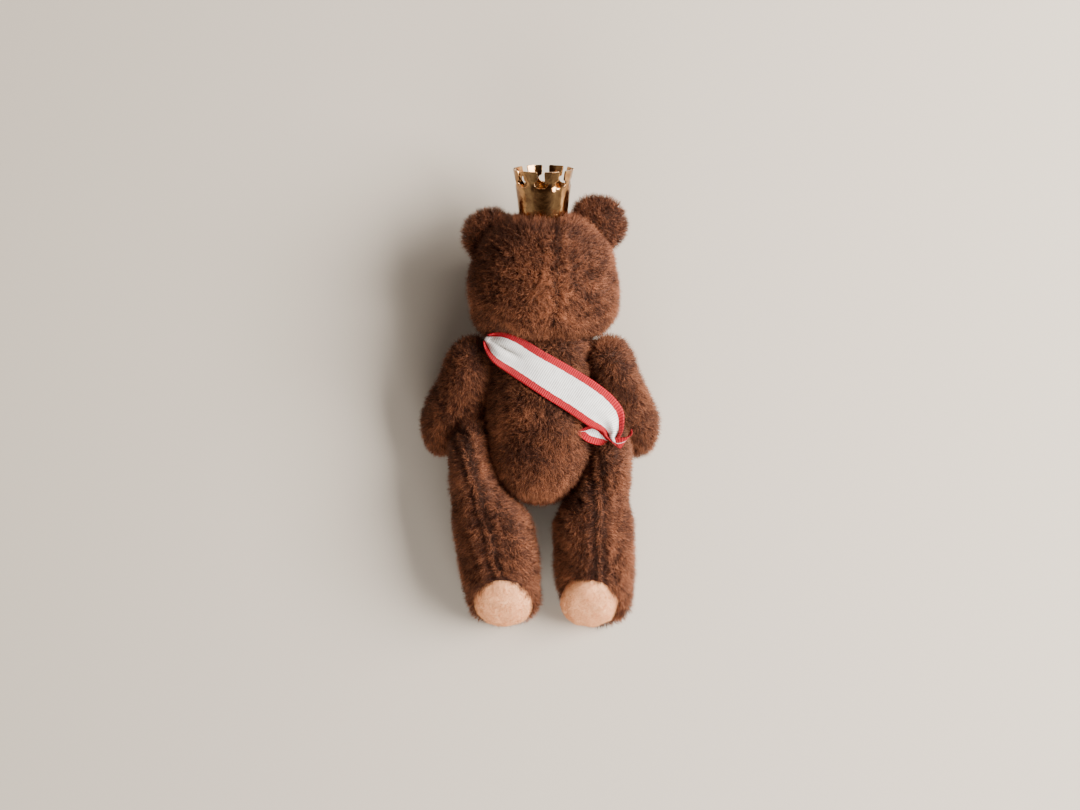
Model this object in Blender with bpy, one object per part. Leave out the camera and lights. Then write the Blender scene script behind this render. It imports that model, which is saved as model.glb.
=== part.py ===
"""A jointed plush bear, 114 mm long, lying face down with a ribbon sash and a small metal crown.

Frame: +Z is the bear's back, +Y runs from its feet to its crown, +X is its right side.
The floor that it lies on is the plane z = 0. All driving sizes are in millimetres.
"""

import math

import bpy
from mathutils import Matrix, Vector
from mathutils.bvhtree import BVHTree

MM = 0.001
GAP = 0.35  # clearance between pieces that touch in the real object
CLOTH = 1.0  # backing cloth with its glue and the roots of the pile
ROUND = 16  # points round a plush section

# Torso
TORSO_LOW = -25.0
TORSO_TURN = -12.5  # centre of the round seat, on the hip axis
TORSO_SEAT = 12.3
TORSO_STATIONS = (  # along Y, half width, centre height, half depth
    (-10.5, 12.4, 13.1, 13.7),
    (-4.0, 12.3, 13.2, 13.8),
    (0.0, 12.1, 14.1, 12.6),
    (4.5, 11.6, 14.5, 12.4),
    (9.0, 10.4, 15.4, 11.4),
    (12.8, 7.9, 16.6, 9.0),
    (14.9, 5.0, 17.3, 5.6),
)
TORSO_TOP = Vector((0.0, 15.2, 17.3))
SHOULDERS_FROM = 3.0  # above here an inset also brings the sections down
SHOULDERS_OVER = 12.0

# Head, measured in its own frame: along is the distance up from the neck
NECK = Vector((1.8, 15.7, 17.5))
HEAD_LEAN = math.radians(4.0)
HEAD_STATIONS = (  # along, half width, centre height over the neck, half depth
    (0.6, 4.6, 1.0, 4.8),
    (2.0, 9.6, 2.4, 9.2),
    (5.4, 14.4, 3.4, 12.9),
    (10.4, 16.7, 3.6, 14.6),
    (15.4, 16.9, 3.7, 14.8),
    (20.4, 15.6, 3.7, 14.0),
    (24.4, 12.8, 3.6, 11.8),
    (27.2, 8.8, 3.5, 8.4),
)
HEAD_LOW = 0.45
HEAD_LOW_HEIGHT = 1.0
HEAD_TOP = 29.2
HEAD_TOP_HEIGHT = 3.5
MUZZLE_PLACE = Vector((0.0, 9.6, -8.4))
MUZZLE_HALF = Vector((7.2, 6.6, 8.5))
EAR_PLACE = {-1: (-12.9, 26.3, 4.0), 1: (14.5, 27.4, 4.0)}
EYE_PLACE = Vector((6.6, 15.6, -11.6))
EYE_RADIUS = 1.25
EAR_RADIUS = 5.9
EAR_HALF_THICK = 2.5
EAR_TURN = math.radians(-38.0)
CUP_RADIUS = 0.6 * EAR_RADIUS
CUP_DEEP = 0.62 * EAR_HALF_THICK
NOSE_OFFSET = Vector((0.0, 5.2, -6.9))  # from the middle of the muzzle
NOSE_HALF = Vector((2.3, 1.5, 0.8))
NOSE_SEAT = 0.25
MOUTH_HALF = 2.6
MOUTH_LEVEL = -1.6
MOUTH_DROOP = 1.3
MOUTH_LIFT = 0.32
MOUTH_WIRE = 0.22

# Arms: s runs down the arm from the shoulder pin
SHOULDER = Vector((0.0, 7.4, 17.0))
ARM_IN = 12.9
ARM_HALF = 4.5
ARM_DEEP = 6.0
ARM_TOP = 6.3
ARM_LONG = 20.8
ARM_TIP_START = 15.5
ARM_SPREAD = 0.70
ARM_BEND = 4.0  # the arm spreads outward below here
ARM_LEVEL = 14.0  # and no further out below here
ARM_TIP_HALF = 3.8
ARM_THINNING = 0.035  # lost from its half depth for each millimetre down
ARM_TIP_THINNER = 0.6
PALM_DOWN = 16.0
PALM_SUNK = 0.9
PALM_HALF = Vector((2.9, 4.2, 1.5))
ARM_PITCH = math.radians(33.0)

# Legs: s runs down the leg from the hip pin
HIP = Vector((0.0, -12.5, 13.4))
LEG_IN = 12.9
LEG_HALF = 3.75
LEG_TOP = 8.2
LEG_STATIONS = (  # s, centre across, half across, centre in depth, half depth, tilt in degrees
    (7.0, 16.0, 4.2, 0.0, 8.6, 0.0),
    (12.5, 14.6, 6.2, 0.0, 9.0, 4.0),
    (18.0, 12.8, 8.6, -0.4, 9.2, 10.0),
    (24.0, 12.2, 9.0, -0.9, 9.5, 18.0),
    (30.6, 11.8, 8.7, -1.9, 10.6, 25.0),
    (35.9, 11.5, 8.0, -2.9, 11.6, 30.0),
    (37.85, 11.5, 7.4, -3.1, 11.5, 31.0),
)
FOOT_INWARD = {-1: 2.2, 1: -1.8}  # the left foot turns in, the right one out
FOOT_FROM = 12.0
FOOT_BULGE = 0.3
INSOLE_IN = (3.0, 4.0)  # how far the insole stands in from the sole's outline
INSOLE_DEPTHS = (-2.9, -2.1)
INSOLE_ROOM_IN = (2.6, 3.6)
INSOLE_ROOM_DEPTHS = (-3.6, -0.5)
SOLE_RINGS = ((0.7, 0.90), (0.7, 0.99), (1.5, 0.97), (2.5, 0.78), (3.1, 0.42))  # lift, share
SOLE_TOP = 3.3
END_FLAT = 0.4  # how blunt the tops of the arms and legs are

# Joint hardware
DISC_RADIUS = {"neck": 3.8, "shoulder": 3.1, "hip": 4.0}
DISC_THICK = 0.8
WASHER_RADIUS = 2.4
WASHER_THICK = 0.4
BORE = 1.5
WIRE = 0.32
WASHER_GAP = 0.25
HEAD_ABOVE = 0.4  # of a pin, over its washer
TAIL_BELOW = 0.75
LEG_SPACING = 0.46
EYE_LOOP = 0.8
TAIL_CURL = 0.8
HOLE_FROM = 11.5  # the pin's hole in a limb's cloth, measured from the middle of the torso
HOLE_TO = 15.8
ROOM_FROM = 10.0
ARM_ROOM_TO = 19.2
LEG_ROOM_TO = 19.4
BAR_IN = 5.0  # the pin's hole in the torso's cloth, measured from the joint
BAR_OUT = 3.0
HEAD_BAR = (-1.0, 4.0)
HEAD_ROOM_FROM = -2.0

# Ribbon
RIBBON_HALF = 5.0
RIBBON_THICK = 0.3
RIBBON_OVER = 0.9  # how far it runs over the plush
RIBBON_MIDDLE = Vector((1.2, 4.6, 14.2))
RIBBON_CROSS = Vector((0.80, -0.60, 0.0))

# Crown
CROWN_PLACE = Vector((0.8, 45.1, 23.0))
CROWN_LEAN = math.radians(16.0)  # it leans back off the head
CROWN_BASE = 6.0
CROWN_MOUTH = 7.5
CROWN_BAND = 6.9
CROWN_TALL = 10.6
CROWN_WALL = 0.5
CROWN_PRONGS = 8
CROWN_TURN = math.radians(17.5)


def v(x, y, z):
    """A place given in millimetres."""
    return Vector((x, y, z))


def material(name, colour, roughness, metallic=0.0):
    """A plain material of its own for one object."""
    made = bpy.data.materials.new(name)
    made.use_nodes = True
    shader = made.node_tree.nodes["Principled BSDF"]
    shader.inputs["Base Color"].default_value = (*colour, 1.0)
    shader.inputs["Roughness"].default_value = roughness
    shader.inputs["Metallic"].default_value = metallic
    return made


FINISH = {
    "plush": ((0.10, 0.045, 0.025), 0.95, 0.0),
    "stuffing": ((0.80, 0.78, 0.72), 0.95, 0.0),
    "felt": ((0.80, 0.42, 0.28), 0.95, 0.0),
    "card": ((0.45, 0.33, 0.20), 0.85, 0.0),
    "steel": ((0.60, 0.60, 0.62), 0.35, 1.0),
    "gold": ((0.80, 0.60, 0.28), 0.18, 1.0),
    "ribbon": ((0.80, 0.10, 0.12), 0.60, 0.0),
    "thread": ((0.05, 0.03, 0.02), 0.70, 0.0),
    "glass": ((0.02, 0.012, 0.01), 0.05, 0.0),
}


def body(name, finish, points, faces):
    """An object from points in millimetres."""
    mesh = bpy.data.meshes.new(name)
    mesh.from_pydata([tuple(p * MM) for p in points], [], faces)
    mesh.validate()
    made = bpy.data.objects.new(name, mesh)
    bpy.context.scene.collection.objects.link(made)
    mesh.materials.append(material(name + "_finish", *FINISH[finish]))
    for face in mesh.polygons:
        face.use_smooth = True
    return made


def loft(name, finish, rings, first=None, last=None):
    """A closed body through rings of points; each end is a point or a flat face."""
    count = len(rings[0])
    points = [p for ring in rings for p in ring]
    faces = []
    for k in range(len(rings) - 1):
        for i in range(count):
            j = (i + 1) % count
            low, high = k * count, (k + 1) * count
            faces.append((low + i, low + j, high + j, high + i))
    for place, ring, order in ((first, 0, -1), (last, len(rings) - 1, 1)):
        start = ring * count
        if place is None:
            faces.append(tuple(start + i for i in range(count))[::order])
            continue
        points.append(place)
        tip = len(points) - 1
        for i in range(count):
            j = (i + 1) % count
            side = (start + i, start + j, tip)
            faces.append(side[::order])
    made = body(name, finish, points, faces)
    outward(made)
    return made


def outward(made):
    """Turn the faces outward if the body came out inside out."""
    mesh = made.data
    mesh.calc_loop_triangles()
    volume = 0.0
    for t in mesh.loop_triangles:
        a, b, c = (mesh.vertices[i].co for i in t.vertices)
        volume += a.dot(b.cross(c))
    if volume < 0.0:
        mesh.flip_normals()


def section(centre, across, deep, half_across, half_deep, count=ROUND):
    """A ring of points: an ellipse spanned by two directions."""
    ring = []
    for i in range(count):
        angle = 2.0 * math.pi * (i + 0.5) / count
        along, aside = half_across * math.cos(angle), half_deep * math.sin(angle)
        ring.append(centre + across * along + deep * aside)
    return ring


def quarter(start, end, steps):
    """Places and scales of the rings that round off an end, from its pole to its full section."""
    found = []
    for k in range(1, steps):
        angle = 0.5 * math.pi * k / steps
        found.append((start + (end - start) * (1.0 - math.cos(angle)), math.sin(angle)))
    return found


def cutter(name, made):
    """Make a body that only cuts others."""
    made.name = name
    made.hide_render = True
    made.display_type = "WIRE"
    return made


def combine(target, other, operation):
    """Add or take away another body."""
    step = target.modifiers.new(operation.lower(), "BOOLEAN")
    step.operation = operation
    step.solver = "EXACT"
    step.object = other


def cylinder(name, finish, start, end, radius, count=16):
    """A plain round bar from one place to another."""
    along = (end - start).normalized()
    side = along.orthogonal().normalized()
    up = along.cross(side)
    rings = [section(p, side, up, radius, radius, count) for p in (start, end)]
    return loft(name, finish, rings)


def ring_plate(name, finish, start, end, radius, bore, count=12):
    """A disc with a hole, between two places on its axis."""
    along = (end - start).normalized()
    side = along.orthogonal().normalized()
    up = along.cross(side)
    rings = []
    for place, size in ((start, bore), (start, radius), (end, radius), (end, bore)):
        rings.append(section(place, side, up, size, size, count))
    points = [p for ring in rings for p in ring]
    faces = []
    for k in range(4):
        for i in range(count):
            j = (i + 1) % count
            low, high = k * count, ((k + 1) % 4) * count
            faces.append((low + i, low + j, high + j, high + i))
    made = body(name, finish, points, faces)
    outward(made)
    return made


def tube(name, finish, path, radius, count=5):
    """Wire or thread swept along a path, with flat ends."""
    rings = []
    side = (path[1] - path[0]).orthogonal().normalized()
    for k, place in enumerate(path):
        ahead = path[min(k + 1, len(path) - 1)] - path[max(k - 1, 0)]
        ahead.normalize()
        side = (side - ahead * side.dot(ahead)).normalized()
        up = ahead.cross(side)
        rings.append(section(place, side, up, radius, radius, count))
    return loft(name, finish, rings)


def ellipsoid(name, finish, centre, axes, count=16, steps=8):
    """An ellipsoid with its poles along the third axis."""
    across, deep, along = axes
    rings = []
    for k in range(1, steps):
        angle = math.pi * k / steps
        place = centre - along * math.cos(angle)
        size = math.sin(angle)
        rings.append(section(place, across, deep, size, size, count))
    return loft(name, finish, rings, centre - along, centre + along)


def spans(turn, half):
    """The three half axes of an ellipsoid in a turned frame."""
    return (turn @ v(half.x, 0, 0), turn @ v(0, half.y, 0), turn @ v(0, 0, half.z))


# ---------------------------------------------------------------- plush outlines


def torso_outline(name, finish, inset):
    """The torso's outline, brought in by an inset; its belly is flattened on the floor."""
    across, deep = v(1, 0, 0), v(0, 0, 1)
    rings = []
    height = TORSO_STATIONS[0][2]
    for place, scale in quarter(TORSO_LOW + inset, TORSO_TURN, 5):
        size = (TORSO_SEAT - inset) * scale
        rings.append(section(v(0, place, height), across, deep, size, size))
    seat = TORSO_SEAT - inset
    rings.append(section(v(0, TORSO_TURN, height), across, deep, seat, seat))
    for place, wide, middle, thick in TORSO_STATIONS:
        lowered = place - inset * max(0.0, (place - SHOULDERS_FROM) / SHOULDERS_OVER)
        rings.append(section(v(0, lowered, middle), across, deep, wide - inset, thick - inset))
    made = loft(name, finish, rings, v(0, TORSO_LOW + inset, height), TORSO_TOP - v(0, inset, 0))
    for point in made.data.vertices:
        point.co.z = max(point.co.z, inset * MM)
    return made


def head_frame():
    """Places the head: its own Y axis leans off the body's."""
    return Matrix.Translation(NECK) @ Matrix.Rotation(HEAD_LEAN, 4, "Z")


def head_outline(name, finish, inset):
    """The skull's outline, brought in by an inset."""
    place = head_frame()
    turn = place.to_3x3()
    across, deep = turn @ v(1, 0, 0), turn @ v(0, 0, 1)
    rings = []
    for along, wide, middle, thick in HEAD_STATIONS:
        moved = along + inset * (1.0 - along / (0.5 * HEAD_TOP))
        rings.append(section(place @ v(0, moved, middle), across, deep, wide - inset, thick - inset))
    bottom = place @ v(0, HEAD_LOW + inset, HEAD_LOW_HEIGHT)
    return loft(name, finish, rings, bottom, place @ v(0, HEAD_TOP - inset, HEAD_TOP_HEIGHT))


def muzzle_outline(name, finish, inset):
    """The muzzle, an ellipsoid that points at the floor."""
    place = head_frame()
    turn = place.to_3x3()
    half = MUZZLE_HALF - v(inset, inset, inset)
    return ellipsoid(name, finish, place @ MUZZLE_PLACE, spans(turn, half))


def arm_frame(side):
    """Places an arm: local X is outward from the torso, local Y down the arm, local Z its back."""
    down = v(0, -math.cos(ARM_PITCH), -math.sin(ARM_PITCH))
    back = v(0, -math.sin(ARM_PITCH), math.cos(ARM_PITCH))
    frame = Matrix((v(side, 0, 0), down, back)).transposed().to_4x4()
    frame.translation = SHOULDER
    return frame


def arm_middle(s):
    """How far out the middle of an arm is, at a distance down it."""
    return ARM_IN + ARM_HALF + ARM_SPREAD * (min(max(s, ARM_BEND), ARM_LEVEL) - ARM_BEND)


def arm_outline(name, finish, side, inset):
    """An arm that spreads away from the torso as it goes down."""
    place = arm_frame(side)
    turn = place.to_3x3()
    across, deep = turn @ v(1, 0, 0), turn @ v(0, 0, 1)
    middle = ARM_IN + ARM_HALF
    rings = []
    for s, scale in quarter(inset - ARM_TOP, 0.0, 4):
        rings.append(
            section(
                place @ v(middle, s, 0),
                across,
                deep,
                (ARM_HALF - inset) * (END_FLAT + (1.0 - END_FLAT) * scale),
                (ARM_DEEP - inset) * scale,
            )
        )
    for s in (0.0, ARM_BEND, 7.5, 11.5, ARM_TIP_START):
        grown = ARM_HALF + (ARM_TIP_HALF - ARM_HALF) * s / ARM_TIP_START
        thick = ARM_DEEP - ARM_THINNING * s
        rings.append(section(place @ v(arm_middle(s), s, 0), across, deep, grown - inset, thick - inset))
    for s, scale in quarter(ARM_LONG - inset, ARM_TIP_START, 4)[::-1]:
        rings.append(
            section(
                place @ v(arm_middle(s), s, 0),
                across,
                deep,
                (ARM_TIP_HALF - inset) * scale,
                (ARM_DEEP - ARM_TIP_THINNER - inset) * scale,
            )
        )
    top = place @ v(middle, inset - ARM_TOP, 0)
    tip = place @ v(arm_middle(ARM_LONG), ARM_LONG - inset, 0)
    return loft(name, finish, rings, top, tip)


def leg_frame(side):
    """Places a leg: local X is outward from the torso, local Y down the leg, local Z its back."""
    frame = Matrix((v(side, 0, 0), v(0, -1, 0), v(0, 0, 1))).transposed().to_4x4()
    frame.translation = HIP
    return frame


def leg_station(side, station, inset):
    """The centre, directions and half sizes of one section of a leg, in its own frame."""
    s, middle, half, drop, thick, tilt = station
    lean = math.radians(tilt)
    share = max(0.0, (s - FOOT_FROM) / (LEG_STATIONS[-1][0] - FOOT_FROM))
    middle -= FOOT_INWARD[side] * share
    deep = v(0, -math.sin(lean), math.cos(lean))
    return v(middle, s, drop), deep, half - inset, thick - inset


def leg_outline(name, finish, side, inset):
    """A leg that grows inward below the seat and ends in a slanted sole."""
    place = leg_frame(side)
    turn = place.to_3x3()
    across, deep = turn @ v(1, 0, 0), turn @ v(0, 0, 1)
    middle = LEG_IN + LEG_HALF
    rings = []
    for s, scale in quarter(inset - LEG_TOP, 0.0, 4):
        rings.append(
            section(
                place @ v(middle, s, 0),
                across,
                deep,
                (LEG_HALF - inset) * (END_FLAT + (1.0 - END_FLAT) * scale),
                (LEG_TOP - inset) * scale,
            )
        )
    rings.append(section(place @ v(middle, 0, 0), across, deep, LEG_HALF - inset, LEG_TOP - inset))
    for station in LEG_STATIONS:
        centre, slope, half, thick = leg_station(side, station, inset)
        if station is LEG_STATIONS[-1]:
            centre.y -= inset
        rings.append(section(place @ centre, across, turn @ slope, half, thick))
    last, slope, _, _ = leg_station(side, LEG_STATIONS[-1], 0.0)
    out = v(1, 0, 0).cross(slope) * -1.0
    last += out * (FOOT_BULGE - inset)
    return loft(name, finish, rings, place @ v(middle, inset - LEG_TOP, 0), place @ last)


# ---------------------------------------------------------------- joints


def joint_hardware(kind, name, place, out):
    """Discs, washers and a split pin of one joint. 'out' points from the torso into the limb."""
    inner = place - out * TORSO_DEEP[kind]
    outer = place + out * LIMB_DEEP[kind]
    radius = DISC_RADIUS[kind]
    gap = out * WASHER_GAP
    ring_plate(name + "_disc_torso", "card", inner - out * DISC_THICK, inner, radius, BORE)
    base = inner - out * DISC_THICK - gap
    ring_plate(name + "_washer_torso", "steel", base - out * WASHER_THICK, base, WASHER_RADIUS, BORE)
    ring_plate(name + "_disc_limb", "card", outer, outer + out * DISC_THICK, radius, BORE)
    top = outer + out * DISC_THICK + gap
    ring_plate(name + "_washer_limb", "steel", top, top + out * WASHER_THICK, WASHER_RADIUS, BORE)
    eye, curl = top + out * (WASHER_THICK + HEAD_ABOVE), base - out * (WASHER_THICK + TAIL_BELOW)
    split_pin(name + "_pin", eye, curl, out)


def split_pin(name, head, tail, out):
    """A split pin: an eye at the head, two legs side by side, and their ends curled back."""
    side = v(0, 0, 1)
    path = []
    for k in range(7):
        angle = math.pi * k / 6.0
        curl = tail + side * (LEG_SPACING + TAIL_CURL * (1.0 - math.cos(angle)))
        path.append(curl - out * (TAIL_CURL * math.sin(angle)))
    path = path[::-1]
    eye = head + out * EYE_LOOP
    for k in range(9):
        angle = math.pi * (0.15 + 1.7 * k / 8.0)
        path.append(eye - out * (EYE_LOOP * math.cos(angle)) + side * (EYE_LOOP * math.sin(angle)))
    mirror = []
    for point in path[:7][::-1]:
        offset = (point - tail).dot(side)
        mirror.append(point - side * (2.0 * offset))
    tube(name, "steel", path + mirror, WIRE)


# ---------------------------------------------------------------- assemblies


def hollow(name, outline, hole_start, hole_end):
    """A cloth skin: an outline less the same outline brought in, with a hole for the pin."""
    skin = outline(name, "plush", 0.0)
    inside = cutter(name + "_inside", outline(name + "_in", "plush", CLOTH))
    hole = cutter(name + "_hole", cylinder(name + "_h", "plush", hole_start, hole_end, BORE))
    combine(skin, inside, "DIFFERENCE")
    combine(skin, hole, "DIFFERENCE")
    return skin


def pocket(stuffing, name, kind, start, end):
    """Room in the stuffing for a joint's disc and pin."""
    room = cylinder(name, "plush", start, end, DISC_RADIUS[kind] + GAP + 0.25)
    combine(stuffing, cutter(name, room), "DIFFERENCE")


NECK_OUT = Matrix.Rotation(HEAD_LEAN, 3, "Z") @ v(0, 1, 0)
TORSO_DEEP = {"neck": 3.5, "shoulder": 4.2, "hip": 2.7}
LIMB_DEEP = {"neck": 3.6, "shoulder": 3.0, "hip": 2.1}
POCKET_IN = 6.6
POCKET_OUT = 6.4
SHOULDER_SEAT = 12.0  # half the distance between the arms' seats on the torso
HIP_SEAT = 12.6


def joints():
    """Each joint: its name, a place between the two cloths, and the way into the limb."""
    found = [("neck", "neck", NECK.copy(), NECK_OUT)]
    for side, word in ((-1, "left"), (1, "right")):
        out = v(side, 0, 0)
        found.append(("shoulder", "shoulder_" + word, SHOULDER + out * SHOULDER_SEAT, out))
        found.append(("hip", "hip_" + word, HIP + out * HIP_SEAT, out))
    return found


def torso():
    """The torso's skin and stuffing, with a hole and a pocket at each joint."""
    skin = torso_outline("torso_skin", "plush", 0.0)
    combine(skin, cutter("torso_inside", torso_outline("torso_in", "plush", CLOTH)), "DIFFERENCE")
    stuffing = torso_outline("torso_stuffing", "stuffing", CLOTH + GAP)
    for kind, name, place, out in joints():
        bar = cylinder(name + "_bar", "plush", place - out * BAR_IN, place + out * BAR_OUT, BORE)
        combine(skin, cutter(name + "_bar", bar), "DIFFERENCE")
        inner = place - out * (TORSO_DEEP[kind] + POCKET_IN)
        pocket(stuffing, name + "_room", kind, inner, place + out * BAR_OUT)


def head():
    """The head's skin and stuffing, ears, eyes and stitched nose and mouth."""
    skin = head_outline("head_skin", "plush", 0.0)
    combine(skin, cutter("muzzle_bulge", muzzle_outline("muzzle_b", "plush", 0.0)), "UNION")
    combine(skin, cutter("head_inside", head_outline("head_in", "plush", CLOTH)), "DIFFERENCE")
    combine(skin, cutter("muzzle_inside", muzzle_outline("muzzle_in", "plush", CLOTH)), "DIFFERENCE")
    start, end = (NECK + NECK_OUT * depth for depth in HEAD_BAR)
    bar = cylinder("neck_top_bar", "plush", start, end, BORE)
    combine(skin, cutter("neck_top_bar", bar), "DIFFERENCE")
    stuffing = head_outline("head_stuffing", "stuffing", CLOTH + GAP)
    nose_fill = muzzle_outline("muzzle_fill", "plush", CLOTH + GAP)
    combine(stuffing, cutter("muzzle_fill", nose_fill), "UNION")
    outer = NECK + NECK_OUT * (LIMB_DEEP["neck"] + POCKET_OUT)
    pocket(stuffing, "neck_top_room", "neck", NECK + NECK_OUT * HEAD_ROOM_FROM, outer)
    place = head_frame()
    for side, word in ((-1, "left"), (1, "right")):
        ear(place, side, word)
        eye(place, side, word)
    nose(place)


def ear(place, side, word):
    """A round ear, cupped forward, with its foot cut to the skull."""
    turn = place.to_3x3() @ Matrix.Rotation(side * EAR_TURN, 3, "Z")
    across, along, deep = turn @ v(1, 0, 0), turn @ v(0, 1, 0), turn @ v(0, 0, 1)
    centre = place @ v(*EAR_PLACE[side])
    axes = (across * EAR_RADIUS, along * EAR_RADIUS, deep * EAR_HALF_THICK)
    made = ellipsoid("ear_" + word, "plush", centre, axes, 18, 8)
    bulk = cutter("ear_cut_" + word, head_outline("ear_bulk_" + word, "plush", -GAP))
    combine(made, bulk, "DIFFERENCE")
    cup_axes = (across * CUP_RADIUS, along * CUP_RADIUS, deep * CUP_DEEP)
    cup_place = centre - deep * EAR_HALF_THICK
    cup = cutter("ear_cup_" + word, ellipsoid("ear_c_" + word, "plush", cup_place, cup_axes, 14, 6))
    combine(made, cup, "DIFFERENCE")


def eye(place, side, word):
    """A glass bead on the face."""
    centre = place @ v(side * EYE_PLACE.x, EYE_PLACE.y, EYE_PLACE.z)
    axes = [v(*row) * EYE_RADIUS for row in Matrix.Identity(3)]
    ellipsoid("eye_" + word, "glass", centre, axes, 12, 6)


def nose(place):
    """The embroidered nose and the thread mouth, on the muzzle."""
    turn = place.to_3x3()
    centre = place @ (MUZZLE_PLACE + NOSE_OFFSET)
    axes = spans(turn, NOSE_HALF)
    made = ellipsoid("nose", "thread", centre, axes, 14, 6)
    combine(made, cutter("nose_seat", muzzle_outline("nose_s", "plush", -NOSE_SEAT)), "DIFFERENCE")
    path = []
    for k in range(9):
        t = k / 8.0
        across = 2.0 * t - 1.0
        along = MOUTH_LEVEL - MOUTH_DROOP * math.cos(math.pi * across)
        path.append(muzzle_point(place, MOUTH_HALF * across, along, MOUTH_LIFT))
    tube("mouth", "thread", path, MOUTH_WIRE)


def muzzle_point(place, across, along, lift):
    """A place over the muzzle's front, lifted off its surface."""
    half = MUZZLE_HALF
    spread = 1.0 - (across / half.x) ** 2 - (along / half.y) ** 2
    return place @ (MUZZLE_PLACE + v(across, along, -half.z * math.sqrt(spread) - lift))


def arm(side, word):
    """An arm's skin, stuffing and felt palm."""
    place = arm_frame(side)
    start, end = SHOULDER + v(side * HOLE_FROM, 0, 0), SHOULDER + v(side * HOLE_TO, 0, 0)

    def outline(name, finish, inset):
        return arm_outline(name, finish, side, inset)

    hollow("arm_skin_" + word, outline, start, end)
    stuffing = outline("arm_stuffing_" + word, "stuffing", CLOTH + GAP)
    inner, outer = SHOULDER + v(side * ROOM_FROM, 0, 0), SHOULDER + v(side * ARM_ROOM_TO, 0, 0)
    pocket(stuffing, "arm_room_" + word, "shoulder", inner, outer)
    turn = place.to_3x3()
    centre = place @ v(arm_middle(PALM_DOWN), PALM_DOWN, -ARM_DEEP + PALM_SUNK)
    palm = ellipsoid("paw_pad_" + word, "felt", centre, spans(turn, PALM_HALF), 16, 6)
    combine(palm, cutter("paw_seat_" + word, outline("paw_s_" + word, "plush", -GAP)), "DIFFERENCE")


def leg(side, word):
    """A leg's skin, stuffing, card insole and felt sole."""
    place = leg_frame(side)
    turn = place.to_3x3()
    start, end = HIP + v(side * HOLE_FROM, 0, 0), HIP + v(side * HOLE_TO, 0, 0)

    def outline(name, finish, inset):
        return leg_outline(name, finish, side, inset)

    hollow("leg_skin_" + word, outline, start, end)
    stuffing = outline("leg_stuffing_" + word, "stuffing", CLOTH + GAP)
    inner, outer = HIP + v(side * ROOM_FROM, 0, 0), HIP + v(side * LEG_ROOM_TO, 0, 0)
    pocket(stuffing, "leg_room_" + word, "hip", inner, outer)
    centre, slope, half, thick = leg_station(side, LEG_STATIONS[-1], 0.0)
    out = v(1, 0, 0).cross(slope) * -1.0
    across, deep = turn @ v(1, 0, 0), turn @ slope

    def sole_ring(lift, wide, long):
        """The sole's outline, lifted off it."""
        return section(place @ (centre + out * lift), across, deep, wide, long)

    def plate(name, finish, indent, depths):
        """A flat plate inside the foot, between two depths."""
        return loft(name, finish, [sole_ring(d, half - indent[0], thick - indent[1]) for d in depths])

    room = plate("insole_room_" + word, "plush", INSOLE_ROOM_IN, INSOLE_ROOM_DEPTHS)
    combine(stuffing, cutter("insole_room_" + word, room), "DIFFERENCE")
    plate("insole_" + word, "card", INSOLE_IN, INSOLE_DEPTHS)
    rings = [sole_ring(lift, half * share, thick * share) for lift, share in SOLE_RINGS]
    low, top = place @ (centre + out * SOLE_RINGS[0][0]), place @ (centre + out * SOLE_TOP)
    loft("sole_pad_" + word, "felt", rings, low, top)


def crown():
    """A stamped crown: a flared band with prongs that widen at their tips."""
    band = (0.0, 0.5 * CROWN_BAND, CROWN_BAND)
    prong = (  # height over the band, half width as a share of the prong's sector
        (0.6, 0.36),
        (1.2, 0.36),
        (1.7, 0.62),
        (2.4, 0.68),
        (CROWN_TALL - CROWN_BAND, 0.70),
    )
    shares = (-1.0, -0.7, -0.36, 0.0, 0.36, 0.7)  # columns of the band within a sector
    stem = (2, 3, 4)  # the columns that a prong stands on
    sector = 2.0 * math.pi / CROWN_PRONGS
    total = len(shares) * CROWN_PRONGS
    lean = Matrix.Rotation(CROWN_LEAN, 3, "X")
    points, faces, index, rim = [], [], {}, {}

    def corner(key, angle, height, inside):
        if (key, inside) not in index:
            flare = (CROWN_MOUTH - CROWN_BASE) * (height / CROWN_TALL) ** 1.3
            radius = CROWN_BASE + flare - (CROWN_WALL if inside else 0.0)
            index[key, inside] = len(points)
            place = v(radius * math.sin(angle), height, radius * math.cos(angle))
            points.append(CROWN_PLACE + lean @ place)
        return index[key, inside]

    def patch(keys):
        outer = tuple(corner(*k, False) for k in keys)
        inner = tuple(corner(*k, True) for k in keys)
        faces.append(outer)
        faces.append(inner[::-1])
        for a in range(len(keys)):
            b = (a + 1) % len(keys)
            edge = frozenset((keys[a][0], keys[b][0]))
            rim.setdefault(edge, []).append((outer[a], outer[b], inner[b], inner[a]))

    for p in range(CROWN_PRONGS):
        middle = CROWN_TURN + p * sector
        angles = [middle + 0.5 * sector * share for share in (*shares, 1.0)]
        for c in range(len(shares)):
            this = p * len(shares) + c
            after = (this + 1) % total
            for r in range(len(band) - 1):
                low, high = band[r], band[r + 1]
                bottom = (((r, this), angles[c], low), ((r, after), angles[c + 1], low))
                top = (((r + 1, after), angles[c + 1], high), ((r + 1, this), angles[c], high))
                patch(bottom + top)
        below = [((len(band) - 1, p * len(shares) + c), angles[c], CROWN_BAND) for c in stem]
        for r, (height, share) in enumerate(prong):
            above = []
            for n in range(len(stem)):
                angle = middle + 0.5 * sector * share * (n - 1.0)
                above.append((("prong", p, r, n), angle, CROWN_BAND + height))
            for n in range(len(stem) - 1):
                patch((below[n], below[n + 1], above[n + 1], above[n]))
            below = above
    for sides in rim.values():
        if len(sides) == 1:
            faces.append(sides[0][::-1])
    made = body("crown", "gold", points, faces)
    outward(made)


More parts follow.
